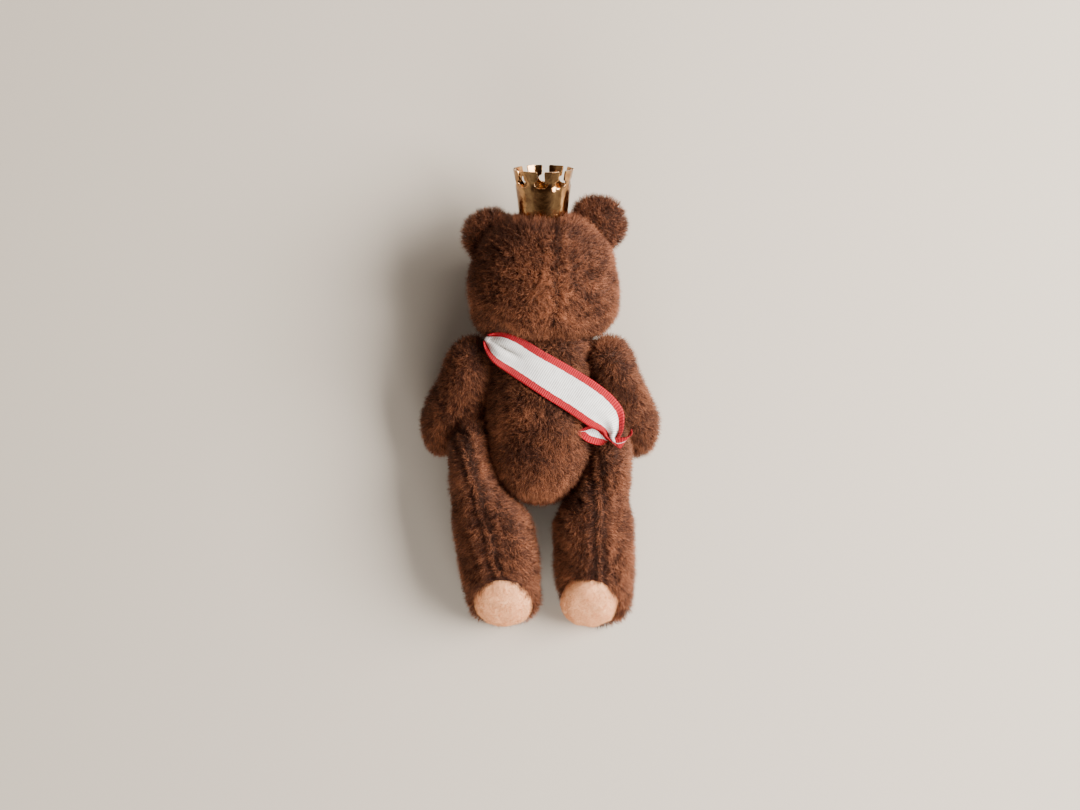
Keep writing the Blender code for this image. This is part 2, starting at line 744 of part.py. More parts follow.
def sash():
    """The ribbon: round the torso from the left shoulder to the right hip, its ends stitched there."""
    shape = torso_outline("sash_form", "plush", -RIBBON_OVER)
    tree = BVHTree.FromObject(shape, bpy.context.evaluated_depsgraph_get())
    up = v(0, 0, 1)
    width = up.cross(RIBBON_CROSS)
    stations = (  # angle round the torso in degrees, shift along the width, share of the width, lift
        (29.0, -2.0, 0.68, 9.4),
        (33.0, -1.0, 0.38, 6.4),
        (41.0, -0.9, 0.84, 3.6),
        (50.0, -1.0, 0.96, 1.6),
        (62.0, -0.8, 1.0, 0.3),
        (80.0, 0.0, 1.0, 0.0),
        (100.0, 0.6, 1.0, 0.0),
        (118.0, 0.9, 1.0, 0.3),
        (135.0, 1.0, 0.88, 1.0),
        (150.0, 0.9, 0.6, 2.0),
        (165.0, 0.8, 0.32, 2.8),
        (180.0, 0.7, 0.2, 3.2),
        (195.0, 0.8, 0.24, 2.8),
        (215.0, 0.9, 0.6, 1.4),
        (240.0, 1.5, 0.96, 0.2),
        (270.0, 1.6, 1.0, 0.0),
        (300.0, 1.2, 0.88, 0.0),
        (325.0, 1.4, 0.64, 0.0),
        (345.0, 1.9, 0.52, 0.0),
        (360.0, 1.8, 0.48, 0.0),
        (378.0, 1.0, 0.44, 0.0),
    )
    rows = 7
    rings = []
    for angle, shift, share, lift in stations:
        turn = math.radians(angle)
        out = RIBBON_CROSS * math.cos(turn) + up * math.sin(turn)
        line = []
        for n in range(rows):
            offset = shift + share * RIBBON_HALF * (2.0 * n / (rows - 1) - 1.0)
            spot, _, _, _ = tree.ray_cast((RIBBON_MIDDLE + width * offset) * MM, out)
            line.append((spot / MM + out * lift, out))
        inner = [p for p, _ in line]
        outer = [p + o * RIBBON_THICK for p, o in line]
        rings.append(inner + outer[::-1])
    bpy.data.objects.remove(shape)
    loft("sash", "ribbon", rings)


def main():
    for thing in list(bpy.data.objects):
        bpy.data.objects.remove(thing)
    torso()
    head()
    for side, word in ((-1, "left"), (1, "right")):
        arm(side, word)
        leg(side, word)
    for kind, name, place, out in joints():
        joint_hardware(kind, name, place, out)
    crown()
    sash()


main()
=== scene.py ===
"""Looks of a small jointed plush bear: pile, felt, ribbon, crown and face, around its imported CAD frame.

All driving sizes are in millimetres in the row frame: +Z is the bear's back, +Y runs to its crown, +X is
its right side. The bear lies face down on the plane z = 0.
"""

import math

import bpy
import numpy as np
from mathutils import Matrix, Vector
from mathutils.bvhtree import BVHTree


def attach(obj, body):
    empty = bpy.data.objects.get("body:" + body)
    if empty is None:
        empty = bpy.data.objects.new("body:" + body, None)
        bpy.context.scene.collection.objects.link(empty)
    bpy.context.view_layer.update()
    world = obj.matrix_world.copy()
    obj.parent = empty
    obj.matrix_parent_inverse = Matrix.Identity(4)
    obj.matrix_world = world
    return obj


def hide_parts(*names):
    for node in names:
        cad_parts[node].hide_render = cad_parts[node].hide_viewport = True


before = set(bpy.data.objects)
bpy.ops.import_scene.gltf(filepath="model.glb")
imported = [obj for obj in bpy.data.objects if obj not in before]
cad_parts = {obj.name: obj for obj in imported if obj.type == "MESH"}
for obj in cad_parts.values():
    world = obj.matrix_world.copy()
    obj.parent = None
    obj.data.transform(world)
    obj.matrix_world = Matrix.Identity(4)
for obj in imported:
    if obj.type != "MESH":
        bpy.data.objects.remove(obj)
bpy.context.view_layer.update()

MM = 0.001
X = np.array((1.0, 0.0, 0.0))
Y = np.array((0.0, 1.0, 0.0))
Z = np.array((0.0, 0.0, 1.0))
SIDES = ((-1, "left"), (1, "right"))

# Places of the joints and the lean of the head, as in the CAD
NECK = np.array((1.8, 15.7, 17.5))
HEAD_LEAN = math.radians(4.0)
SHOULDER = np.array((0.0, 7.4, 17.0))
ARM_PITCH = math.radians(33.0)
HIP = np.array((0.0, -12.5, 13.4))

# Sections of the plush shapes: along, middle and half across, middle and half in depth, tilt in degrees
TORSO = (
    (-25.2, 0.0, 0.0, 13.2, 0.0, 0.0),
    (-22.2, 0.0, 7.2, 13.2, 7.4, 0.0),
    (-16.5, 0.0, 11.2, 13.2, 11.6, 0.0),
    (-10.0, 0.0, 12.4, 13.2, 13.2, 0.0),
    (-4.0, 0.0, 12.4, 13.3, 13.4, 0.0),
    (1.0, 0.0, 12.3, 14.0, 12.6, 0.0),
    (6.0, 0.2, 12.2, 14.9, 12.0, 0.0),
    (10.5, 0.4, 12.0, 16.0, 10.8, 0.0),
    (13.8, 1.2, 11.8, 16.9, 9.0, 0.0),
    (15.3, 1.6, 10.4, 17.3, 6.6, 0.0),
    (15.8, 1.4, 0.0, 17.4, 0.0, 0.0),
)
HEAD = (
    (0.45, 0.0, 0.0, 1.0, 0.0, 0.0),
    (1.0, 0.0, 11.6, 1.8, 9.0, 0.0),
    (3.6, 0.0, 15.7, 3.0, 12.6, 0.0),
    (8.6, 0.0, 17.3, 3.5, 14.4, 0.0),
    (13.4, 0.0, 17.3, 3.7, 14.9, 0.0),
    (18.4, 0.0, 16.5, 3.7, 14.3, 0.0),
    (22.8, 0.0, 14.6, 3.7, 12.7, 0.0),
    (26.2, 0.0, 11.6, 3.6, 9.9, 0.0),
    (28.4, 0.0, 7.2, 3.5, 5.9, 0.0),
    (29.2, 0.0, 0.0, 3.5, 0.0, 0.0),
)
MUZZLE_PLACE = np.array((0.0, 9.6, -8.4))
MUZZLE_HALF = np.array((7.2, 6.6, 8.4))
EAR_PLACE = {-1: np.array((-12.4, 26.0, 4.0)), 1: np.array((14.6, 27.0, 4.0))}
EAR_HALF = {-1: np.array((6.2, 6.0, 2.6)), 1: np.array((6.7, 6.3, 2.7))}
ARM = (
    (-7.6, 16.8, 0.0, 0.0, 0.0, 0.0),
    (-6.2, 17.0, 3.9, 0.0, 4.0, 0.0),
    (0.0, 18.2, 5.2, 0.0, 6.1, 0.0),
    (4.0, 18.9, 5.9, 0.0, 6.2, 0.0),
    (8.0, 20.1, 6.9, 0.0, 6.2, 0.0),
    (11.6, 21.6, 6.6, 0.0, 6.0, 0.0),
    (15.4, 24.2, 4.9, 0.0, 5.3, 0.0),
    (19.6, 25.1, 4.0, 0.0, 4.6, 0.0),
    (22.6, 25.1, 2.5, 0.0, 3.0, 0.0),
    (23.7, 25.1, 0.0, 0.0, 0.0, 0.0),
)
LEG = (
    (-8.3, 16.6, 0.0, 0.0, 0.0, 0.0),
    (-6.4, 16.9, 3.2, 0.0, 4.9, 0.0),
    (0.0, 17.2, 4.5, 0.0, 8.2, 0.0),
    (7.0, 16.5, 5.0, 0.0, 8.7, 0.0),
    (12.5, 14.6, 6.4, 0.0, 9.0, 4.0),
    (18.0, 12.8, 8.7, -0.4, 9.3, 10.0),
    (24.0, 12.2, 9.1, -0.9, 9.6, 18.0),
    (30.6, 11.8, 8.8, -1.9, 10.7, 25.0),
    (36.9, 11.5, 8.2, -2.9, 11.6, 31.0),
    (39.2, 11.5, 7.4, -3.1, 11.0, 33.0),
    (39.4, 11.5, 0.0, -3.1, 0.0, 33.0),
)
FOOT_INWARD = {-1: 2.2, 1: -2.9}  # the left foot turns in, the right one out
SOLE_SHIFT = {-1: 0.0, 1: -1.7}
SOLE_EDGE = 0.7  # how far the sole stands in from the sides of the foot
SOLE_DOME = 4.3
FOOT_FROM = 12.0
FOOT_TO = 38.4
ROUNDNESS = 2.15  # power of the superellipse that the sections follow
SKIN_INSET = 0.3  # the woven backing lies this far inside the sections
EAR_TURN = math.radians(-38.0)
EYE_PLACE = np.array((6.6, 15.6, -11.6))
EYE_RADIUS = 1.25
PALM_PLACE = np.array((24.4, 15.6, 0.0))
PALM_HALF = (3.1, 4.0)
MOUTH_HALF = 2.6
MOUTH_LEVEL = -1.6
MOUTH_DROOP = 1.3
NOSE_HALF = 2.2
NOSE_TALL = 1.45
NOSE_LEVEL = 5.0
FACE_LIFT = 0.3  # the stitches rise at most this far over the snout

PILE_SHADES = 6
PILE_LONG = 2.4
PILE_WIDE = 0.054
PILE_BENT = 0.4  # share of the strands that bend
PILE_TUMBLE = 0.42
STRAND_LENGTHS = (0.70, 1.12)
STRAND_WIDTHS = (0.75, 1.3)
STRANDS = {  # share of the length, and the widths at the root and the bend as shares
    "under": (0.92, (1.15,)),
    "over": (1.06, (1.0, 0.8)),
}
TABLE_GAP = 0.04  # the pile ends this far over the table
PILE_DARK = (0.024, 0.0042, 0.0017)
# the brown pile's lightest colour: partly lighter fibre, partly a painted golden glint
PILE_LIGHT_AND_GLINT = (0.375, 0.132, 0.061)
PILE_CURVE = 1.9  # how few of the shades are light ones; the lightest few in the brown pile are painted glints
FUZZ_DARK = (0.78, 0.34, 0.15)
FUZZ_LIGHT = (0.97, 0.58, 0.32)
FUZZ_WIDE = 0.05
FUZZ_TUMBLE = 0.9
TRIANGLES_PER_PIECE = 180000
PILE_DENSITY = 24.0  # strands for each square millimetre
EAR_DENSITY = 31.0
EAR_LONG = 2.0


# ---- vectors


def unit(a):
    """Vectors of length one."""
    return a / np.maximum(np.linalg.norm(a, axis=-1, keepdims=True), 1e-9)


def turned(angle, axis):
    """A rotation matrix about a unit axis."""
    c, s = math.cos(angle), math.sin(angle)
    x, y, z = axis
    skew = np.array(((0, -z, y), (z, 0, -x), (-y, x, 0)))
    return np.eye(3) * c + skew * s + np.outer(axis, axis) * (1 - c)


class Place:
    """A local frame: three axes and an origin."""

    def __init__(self, axes, origin):
        self.axes = np.array(axes, float)
        self.origin = np.array(origin, float)

    def put(self, local):
        """Local points in the row frame."""
        return np.asarray(local) @ self.axes + self.origin

    def point(self, local):
        """Local directions in the row frame."""
        return np.asarray(local) @ self.axes


def head_place():
    """The head's frame: its Y axis leans off the body's."""
    turn = turned(HEAD_LEAN, Z)
    return Place((turn @ X, turn @ Y, turn @ Z), NECK)


def arm_place(side):
    """An arm's frame: out from the torso, down the arm, and its back."""
    down = np.array((0.0, -math.cos(ARM_PITCH), -math.sin(ARM_PITCH)))
    back = np.array((0.0, -math.sin(ARM_PITCH), math.cos(ARM_PITCH)))
    return Place((X * side, down, back), SHOULDER)


def leg_place(side):
    """A leg's frame: out from the torso, down the leg, and its back."""
    return Place((X * side, -Y, Z), HIP)


BODY_PLACE = Place((X, Y, Z), (0.0, 0.0, 0.0))


def waves(points, size, seed):
    """Smooth uneven values from about -1 to 1, a given size across."""
    rng = np.random.default_rng(seed)
    total = np.zeros(len(points))
    for _ in range(7):
        way = unit(rng.normal(size=3))
        total += np.sin(points @ way * (2 * math.pi / (size * rng.uniform(0.7, 1.5))) + rng.uniform(0, 7))
    return total / 3.2


def drift(points, size, seed):
    """Smooth uneven directions, a given size across."""
    return np.stack([waves(points, size, seed + k) for k in range(3)], 1)


def bell(distance, width):
    """A smooth bump: 1 at no distance, and nearly 0 beyond twice the width."""
    return np.exp(-((distance / width) ** 2))


# ---- shapes


def smooth_run(padded, count):
    """A smooth curve through rows of values; the first and last rows only steer its ends."""
    found = []
    for t in np.linspace(0, len(padded) - 3 - 1e-6, count):
        k = int(t)
        u = t - k
        a, b, c, d = padded[k : k + 4]
        square, cube = 2 * a - 5 * b + 4 * c - d, 3 * b - a - 3 * c + d
        found.append(0.5 * (2 * b + (c - a) * u + square * u**2 + cube * u**3))
    return np.array(found)


def spline(stations, count):
    """A smooth run of sections. The half widths mirror at both ends, so the shape closes round there."""
    given = np.array(stations, float)
    flip = np.array((1, 1, -1, 1, -1, 1))
    return smooth_run(np.vstack((given[1] * flip, given, given[-2] * flip)), count)


def superellipse(count):
    """Places round a section that is a little squarer than an ellipse, from -1 to 1 each way."""
    angles = 2 * math.pi * np.arange(count) / count
    c, s = np.cos(angles), np.sin(angles)
    return np.sign(c) * np.abs(c) ** (2 / ROUNDNESS), np.sign(s) * np.abs(s) ** (2 / ROUNDNESS)


def loft(place, stations, rings, around, inset):
    """Points of a plush shape, as a grid of rings, and its normals."""
    rows = spline(stations, rings)
    across, deep = superellipse(around)
    tilt = np.radians(rows[:, 5:6])
    half_x = np.maximum(rows[:, 2:3] - inset, 0.01)
    half_z = np.maximum(rows[:, 4:5] - inset, 0.01)
    x = rows[:, 1:2] + half_x * across
    y = rows[:, 0:1] - half_z * deep * np.sin(tilt)
    z = rows[:, 3:4] + half_z * deep * np.cos(tilt)
    grid = place.put(np.stack((x, y, z), axis=-1))
    return grid, grid_normals(grid, grid.mean(axis=1, keepdims=True))


def globe(place, centre, half, rings, around):
    """Points and normals of an ellipsoid, as a grid of rings with its poles along Z."""
    up = math.pi * (np.arange(rings) + 0.5) / rings
    angles = 2 * math.pi * np.arange(around) / around
    ball = np.stack(
        (
            np.outer(np.sin(up), np.cos(angles)),
            np.outer(np.sin(up), np.sin(angles)),
            np.outer(np.cos(up), np.ones(around)),
        ),
        axis=-1,
    )
    return place.put(ball * half + centre), place.point(unit(ball / half))


def grid_faces(rings, around):
    """Quads between the closed rings of a grid."""
    j = np.arange(around)
    k = (j + 1) % around
    rows = []
    for low in range(0, (rings - 1) * around, around):
        high = low + around
        rows.append(np.stack((low + j, low + k, high + k, high + j), 1))
    return np.concatenate(rows)


def mesh(name, points, quads, tris=None, slots=None, materials=(), smooth=True):
    """A mesh object from arrays, with points in millimetres."""
    made = bpy.data.meshes.new(name)
    tris = np.zeros((0, 3), int) if tris is None else tris
    loops = np.concatenate((np.ravel(quads), np.ravel(tris))).astype(np.int32)
    starts = np.concatenate((np.arange(len(quads)) * 4, len(quads) * 4 + np.arange(len(tris)) * 3))
    made.vertices.add(len(points))
    made.vertices.foreach_set("co", (np.asarray(points) * MM).astype(np.float32).ravel())
    made.loops.add(len(loops))
    made.loops.foreach_set("vertex_index", loops)
    made.polygons.add(len(starts))
    made.polygons.foreach_set("loop_start", starts.astype(np.int32))
    if slots is not None:
        made.polygons.foreach_set("material_index", slots.astype(np.int32))
    made.polygons.foreach_set("use_smooth", np.full(len(starts), smooth))
    made.update(calc_edges=True)
    for material in materials:
        made.materials.append(material)
    thing = bpy.data.objects.new(name, made)
    bpy.context.scene.collection.objects.link(thing)
    return thing


def dress(thing, body, slot, *nodes):
    """Attach a piece to its body and hide the CAD nodes it stands for; its slot is not used."""
    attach(thing, body)
    if nodes:
        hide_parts(*nodes)
    return thing


def grid_normals(grid, inside):
    """Normals of a grid of rings, facing away from a place inside it."""
    along = np.gradient(grid, axis=0)
    across = np.roll(grid, -1, axis=1) - np.roll(grid, 1, axis=1)
    normal = unit(np.cross(along, across))
    return normal if (normal * (grid - inside)).sum() > 0 else -normal


def volume(grid):
    """Signed volume of a grid of rings, positive when its quads face outward."""
    a, b = grid, np.roll(grid, -1, axis=1)
    return (np.cross(b[:-1] - a[:-1], b[1:] - a[:-1]) * (a[:-1] - grid.mean((0, 1)))).sum()


def skin_mesh(name, grid, material):
    """A closed skin from a grid of rings, with a point at each pole."""
    if volume(grid) < 0:
        grid = grid[:, ::-1]
    rings, around = grid.shape[:2]
    points = np.vstack((grid.reshape(-1, 3), grid[0].mean(0), grid[-1].mean(0)))
    quads = grid_faces(rings, around)
    j = np.arange(around)
    k = (j + 1) % around
    pole = np.full(around, rings * around)
    end = (rings - 1) * around
    tris = np.vstack((np.stack((k, j, pole), 1), np.stack((end + j, end + k, pole + 1), 1)))
    return mesh(name, points, quads, tris, materials=(material,))


def tube(path, radius, around, ends):
    """Points and quads of a tube along a path; its ends taper to a share of the radius."""
    path = np.asarray(path, float)
    ahead = unit(np.gradient(path, axis=0))
    side = np.cross(ahead[0], X if abs(ahead[0][0]) < 0.8 else Y)
    rings = []
    taper = np.ones(len(path))
    taper[0] = taper[-1] = ends
    for k in range(len(path)):
        side = unit(side - ahead[k] * np.dot(side, ahead[k]))
        up = np.cross(ahead[k], side)
        turn = 2 * math.pi * np.arange(around)[:, None] / around
        rings.append(path[k] + radius * taper[k] * (np.cos(turn) * side + np.sin(turn) * up))
    return np.vstack(rings), grid_faces(len(path), around)


def joined(parts):
    """Several points-and-quads pairs as one."""
    points, quads, count = [], [], 0
    for some, faces in parts:
        points.append(some)
        quads.append(faces + count)
        count += len(some)
    return np.vstack(points), np.vstack(quads)


# ---- materials


class Nodes:
    """A short way to build a node material."""

    def __init__(self, name, colour=(0.5, 0.5, 0.5), **settings):
        self.material = bpy.data.materials.new(name)
        self.material.use_nodes = True
        self.tree = self.material.node_tree
        self.shader = self.tree.nodes["Principled BSDF"]
        self.shader.inputs["Base Color"].default_value = (*colour, 1.0)
        for key, value in settings.items():
            self.shader.inputs[key.replace("_", " ")].default_value = value

    def add(self, kind, **inputs):
        """A node, with plain values or links for its inputs."""
        node = self.tree.nodes.new("ShaderNode" + kind)
        for key, value in inputs.items():
            self.set(node, key.replace("_", " "), value)
        return node

    def set(self, node, key, value):
        """Fill an input, by name or number, with a value or another node's output."""
        if isinstance(value, bpy.types.NodeSocket):
            self.tree.links.new(value, node.inputs[key])
        else:
            node.inputs[key].default_value = value

    def maths(self, operation, *values):
        """A maths node's output."""
        node = self.add("Math")
        node.operation = operation
        for k, value in enumerate(values):
            self.set(node, k, value)
        return node.outputs[0]

    def noise(self, scale, detail):
        """A noise value in object space."""
        where = self.add("TexCoord").outputs["Object"]
        node = self.add("TexNoise", Vector=where, Scale=scale, Detail=detail, Roughness=0.55)
        return node.outputs["Fac"]

    def ramp(self, value, *stops):
        """A colour ramp's output; each stop is a place and a colour."""
        node = self.add("ValToRGB", Fac=value)
        ramp = node.color_ramp
        for k, (place, colour) in enumerate(stops):
            stop = ramp.elements[k] if k < 2 else ramp.elements.new(place)
            stop.position = place
            stop.color = (*colour, 1.0)
        return node.outputs["Color"]

    def colour(self, value):
        """Link the base colour."""
        self.set(self.shader, "Base Color", value)

    def rough(self, value):
        """Link the roughness."""
        self.set(self.shader, "Roughness", value)

    def bump(self, height, distance, strength=1.0):
        """Raise the surface by a height from 0 to 1, over a distance in millimetres."""
        node = self.add("Bump", Height=height, Distance=distance * MM, Strength=strength)
        self.set(self.shader, "Normal", node.outputs["Normal"])


def mixed(a, b, share):
    """A colour between two."""
    return tuple(p + (q - p) * share for p, q in zip(a, b))


def pile_materials(name, dark, light):
    """Plain shades of one pile, from dark to light; a bent strand's root takes a darker one, as painted
    shade.
    """
    made = []
    for k in range(PILE_SHADES):
        share = (k / (PILE_SHADES - 1)) ** PILE_CURVE
        shade = Nodes(
            "%s_%d" % (name, k),
            mixed(dark, light, share),
            Roughness=0.62,
            Specular_IOR_Level=0.25,
            Sheen_Weight=0.12,
            Sheen_Tint=(*mixed(dark, (0.9, 0.45, 0.25), 0.8), 1.0),
        )
        made.append(shade.material)
    return made


def plush_skin():
    """The woven backing, painted dark as the shade deep among the roots of the pile."""
    m = Nodes("plush_backing_painted_shade", Roughness=0.95)
    blotch = m.noise(260.0, 4.0)
    fibre = m.noise(2600.0, 3.0)
    tone = m.maths("MULTIPLY_ADD", fibre, 0.5, m.maths("MULTIPLY", blotch, 0.5))
    # painted shade: the backing's colour is kept dark for the depth between the strands
    m.colour(m.ramp(tone, (0.3, (0.020, 0.008, 0.005)), (0.72, (0.090, 0.038, 0.022))))
    m.bump(fibre, 0.25)
    return m.material


# ---- pile


class Coat:
    """Where the pile of one piece grows: points on its skins with their normals."""

    def __init__(self, seed):
        self.rng = np.random.default_rng(seed)
        self.points = np.zeros((0, 3))
        self.normals = np.zeros((0, 3))

    def grow(self, grid, normal, density):
        """Scatter roots evenly over a grid of rings."""
        rings, around = grid.shape[:2]
        quads = grid_faces(rings, around)
        p, n = grid.reshape(-1, 3), normal.reshape(-1, 3)
        a, b, c, d = (p[quads[:, k]] for k in range(4))
        area = 0.5 * np.linalg.norm(np.cross(c - a, d - b), axis=1)
        count = int(area.sum() * density)
        chosen = self.rng.choice(len(quads), count, p=area / area.sum())
        u, v = self.rng.random((2, count, 1))
        weights = ((1 - u) * (1 - v), u * (1 - v), u * v, (1 - u) * v)
        found = sum(w * p[quads[chosen, k]] for k, w in enumerate(weights))
        normals = unit(sum(w * n[quads[chosen, k]] for k, w in enumerate(weights)))
        self.points = np.vstack((self.points, found))
        self.normals = np.vstack((self.normals, normals))

    def keep(self, wanted):
        """Drop the roots that aren't wanted."""
        self.points = self.points[wanted]
        self.normals = self.normals[wanted]


def inside_globe(points, place, centre, half):
    """Which points lie inside an ellipsoid."""
    local = (points - place.origin) @ place.axes.T
    return (((local - centre) / half) ** 2).sum(1) < 1.0


def inside_tree(points, tree):
    """Which points lie inside a closed mesh, by the side of its nearest face."""
    found = np.zeros(len(points), bool)
    for k, p in enumerate(points):
        spot, normal, _, _ = tree.find_nearest(Vector(p))
        found[k] = (Vector(p) - spot).dot(normal) < 0
    return found


def distance_to(points, tree):
    """How far each point is from a mesh."""
    return np.array([tree.find_nearest(Vector(p))[3] for p in points])


def tree_of(*things):
    """One search tree of some meshes, in millimetres."""
    points, faces = [], []
    for thing in things:
        base = len(points)
        points.extend(v.co / MM for v in thing.data.vertices)
        faces.extend(tuple(base + i for i in f.vertices) for f in thing.data.polygons)
    return BVHTree.FromPolygons(points, faces)


def room_over(points, normals, tree, reach):
    """How far each root can grow before it meets a mesh."""
    room = np.full(len(points), reach)
    for k in range(len(points)):
        _, _, _, far = tree.ray_cast(Vector(points[k]), Vector(normals[k]), reach)
        if far is not None:
            room[k] = far
    return room


def strand_faces(level, rows):
    """Faces of three-sided strands and their shades; a bent strand is painted darker below its bend, as
    shade in the pile.
    """
    start = np.arange(len(level))[:, None] * (3 * rows + 1)
    ways = [(k, (k + 1) % 3) for k in range(3)]
    top = 3 * (rows - 1)
    tris = np.concatenate([start + np.array((top + a, top + b, top + 3)) for a, b in ways])
    if rows == 1:
        return np.zeros((0, 4), int), tris, np.tile(level, 3)
    quads = np.concatenate([start + np.array((a, b, 3 + b, 3 + a)) for a, b in ways])
    # painted shade: a bent strand's root is a shade darker, and its tip a shade lighter
    root, tip = np.maximum(level - 1, 0), np.minimum(level + 1, PILE_SHADES - 1)
    return quads, tris, np.concatenate((np.tile(root, 3), np.tile(tip, 3)))


def strands(name, coat, length, brush, shade, materials, body, wide=PILE_WIDE, tumble=PILE_TUMBLE):
    """The pile as fine tapered strands, a share of them bent, in as many pieces as it needs."""
    rng = coat.rng
    count = len(coat.points)
    length = np.broadcast_to(length, count)[:, None] * rng.uniform(*STRAND_LENGTHS, (count, 1))
    # each strand's shade moves at random: partly the fibres' uneven tone, partly painted glints
    level = np.clip(np.rint(shade + rng.normal(size=count)), 0, PILE_SHADES - 1).astype(int)
    curved = rng.random(count) < PILE_BENT
    for kind, some in (("under", ~curved), ("over", curved)):
        share, widths = STRANDS[kind]
        p, n = coat.points[some], coat.normals[some]
        reach = length[some] * share
        first = unit(n + brush[some] * 0.75 + rng.normal(size=p.shape) * tumble * 0.6)
        second = unit(first + brush[some] * 0.9 + rng.normal(size=p.shape) * tumble)
        middle = p + first * reach * 0.55
        tip = middle + second * reach * 0.5
        side = unit(np.cross(first, rng.normal(size=p.shape)))
        other = np.cross(first, side)
        thick = wide * rng.uniform(*STRAND_WIDTHS, (len(p), 1))
        corners = []
        for start, size in zip((p, middle), widths):
            for k in range(3):
                turn = 2 * math.pi * k / 3
                corners.append(start + thick * size * (math.cos(turn) * side + math.sin(turn) * other))
        points = np.stack((*corners, tip), axis=1)
        points[..., 2] = np.maximum(points[..., 2], TABLE_GAP)
        triangles = len(p) * (6 * len(widths) - 3)
        pieces = max(1, math.ceil(triangles / TRIANGLES_PER_PIECE))
        for part, group in enumerate(np.array_split(np.arange(len(p)), pieces)):
            quads, tris, slots = strand_faces(level[some][group], len(widths))
            piece = "%s_%s_%d" % (name, kind, part + 1)
            thing = mesh(piece, points[group].reshape(-1, 3), quads, tris, slots, materials)
            dress(thing, body, "plush")


# ---- skins and their pile


def torso_shape():
    """The torso, flattened a little where the belly lies."""
    grid, normal = loft(BODY_PLACE, TORSO, 84, 84, SKIN_INSET)
    grid[..., 2] = np.maximum(grid[..., 2], 0.3)
    return grid, normal


def head_shape():
    """The skull."""
    return loft(head_place(), HEAD, 84, 84, SKIN_INSET)


def muzzle_shape():
    """The snout, whose lower side is pressed a little by the table."""
    grid, normal = globe(head_place(), MUZZLE_PLACE, MUZZLE_HALF - SKIN_INSET, 48, 64)
    grid[..., 2] = np.maximum(grid[..., 2], 0.5)
    return grid, normal


def ear_frame(side):
    """An ear's frame, turned about the back of the head."""
    place = head_place()
    turn = turned(side * EAR_TURN, Z)
    axes = [place.point(turn @ axis) for axis in (X, Y, Z)]
    return Place(axes, place.put(EAR_PLACE[side]))


def ear_shape(side):
    """A round ear, hollowed on its face side."""
    place = ear_frame(side)
    grid, _ = globe(place, np.zeros(3), EAR_HALF[side] - SKIN_INSET, 40, 56)
    local = (grid - place.origin) @ place.axes.T
    spread = np.hypot(local[..., 0], local[..., 1]) / EAR_HALF[side][0]
    dent = 0.85 * bell(spread, 0.55) * (local[..., 2] < 0)
    local[..., 2] *= 1.0 - dent
    grid = place.put(local)
    return grid, grid_normals(grid, place.origin)


def arm_shape(side):
    """An arm with its blunt paw."""
    return loft(arm_place(side), ARM, 72, 56, SKIN_INSET)


def leg_rows(side):
    """The leg's sections, with the foot turned a little to one side."""
    rows = []
    for row in LEG:
        share = min(max((row[0] - FOOT_FROM) / (FOOT_TO - FOOT_FROM), 0.0), 1.0)
        rows.append((row[0], row[1] - FOOT_INWARD[side] * share, *row[2:]))
    return rows


def leg_shape(side):
    """A leg with its flared foot."""
    return loft(leg_place(side), leg_rows(side), 84, 64, SKIN_INSET)


def in_plan(points, line):
    """Distance in plan from each point to a line of places on the back, and its side."""
    flat = points[:, :2]
    best = np.full(len(points), 1e9)
    side = np.zeros(len(points))
    for a, b in zip(line[:-1], line[1:]):
        a, b = np.array(a), np.array(b)
        run = b - a
        share = np.clip(((flat - a) @ run) / (run @ run), 0, 1)
        offset = flat - (a + share[:, None] * run)
        far = np.hypot(offset[:, 0], offset[:, 1])
        nearer = far < best
        best[nearer] = far[nearer]
        side[nearer] = np.sign(run[0] * offset[nearer, 1] - run[1] * offset[nearer, 0])
    return best, side


HEAD_SEAM = ((3.4, 21.0), (3.7, 30.0), (3.9, 44.0))
LEG_SEAMS = {
    -1: ((-19.6, -9.0), (-14.4, -28.0), (-9.6, -47.0)),
    1: ((14.6, -14.0), (14.6, -47.0)),
}
HEAD_PARTING = (0.0, 0.85)  # how far the furrows lie from the seam, and how deep they are, which also sets their painted shade
LEG_PARTING = (0.85, 1.0)
TUFTS_TO = 45.0  # pale tufts line the head's seam, up to its top
RUFFLE = (2.2, 25.5)
RUFFLE_HALF = (5.0, 6.5)
SNOUT_PILE = 0.42  # its pile as a share of the rest
FACE_CLEAR = (  # a place on the face, how far round it is bare, and how far round that the pile grows in
    (EYE_PLACE * (-1, 1, 1), 1.5, 1.2),
    (EYE_PLACE, 1.5, 1.2),
    ((0.0, 14.6, -14.6), 2.2, 1.4),
    ((-2.0, 8.4, -16.0), 0.9, 1.0),
    ((2.0, 8.4, -16.0), 0.9, 1.0),
    ((0.0, 6.9, -16.0), 0.9, 1.0),
)
RIBBON_PRESS = np.array((-9.5, 17.0, 27.5))  # where the sash crowds the pile under the head
RIBBON_PRESS_REACH = 5.5
LEAST_ROOM = 0.25  # no pile grows where there is less room than this


def parted(p, n, line, parting, long, brush, shade):
    """The pile along a seam: shorter and painted darker in the furrow, as its shade, and combed away from
    it.
    """
    apart, depth = parting
    far, way = in_plan(p, line)
    upper = n[:, 2] > 0.1
    furrow = bell(far - apart, 0.4) * upper * depth
    ridge = bell(far, 0.5) * upper * (apart > 0)
    lean = bell(far - 1.7, 0.8) * upper
    run = np.array(line[-1]) - np.array(line[0])
    over = np.array((-run[1], run[0], 0.0)) / np.hypot(*run)
    long = long * (1 - 0.66 * furrow - 0.25 * ridge)
    # the furrow is painted darker as its shade; the ridge is lighter
    shade = shade - 1.5 * furrow + 0.8 * ridge
    return long, brush + over * (way * lean * 0.9)[:, None], shade


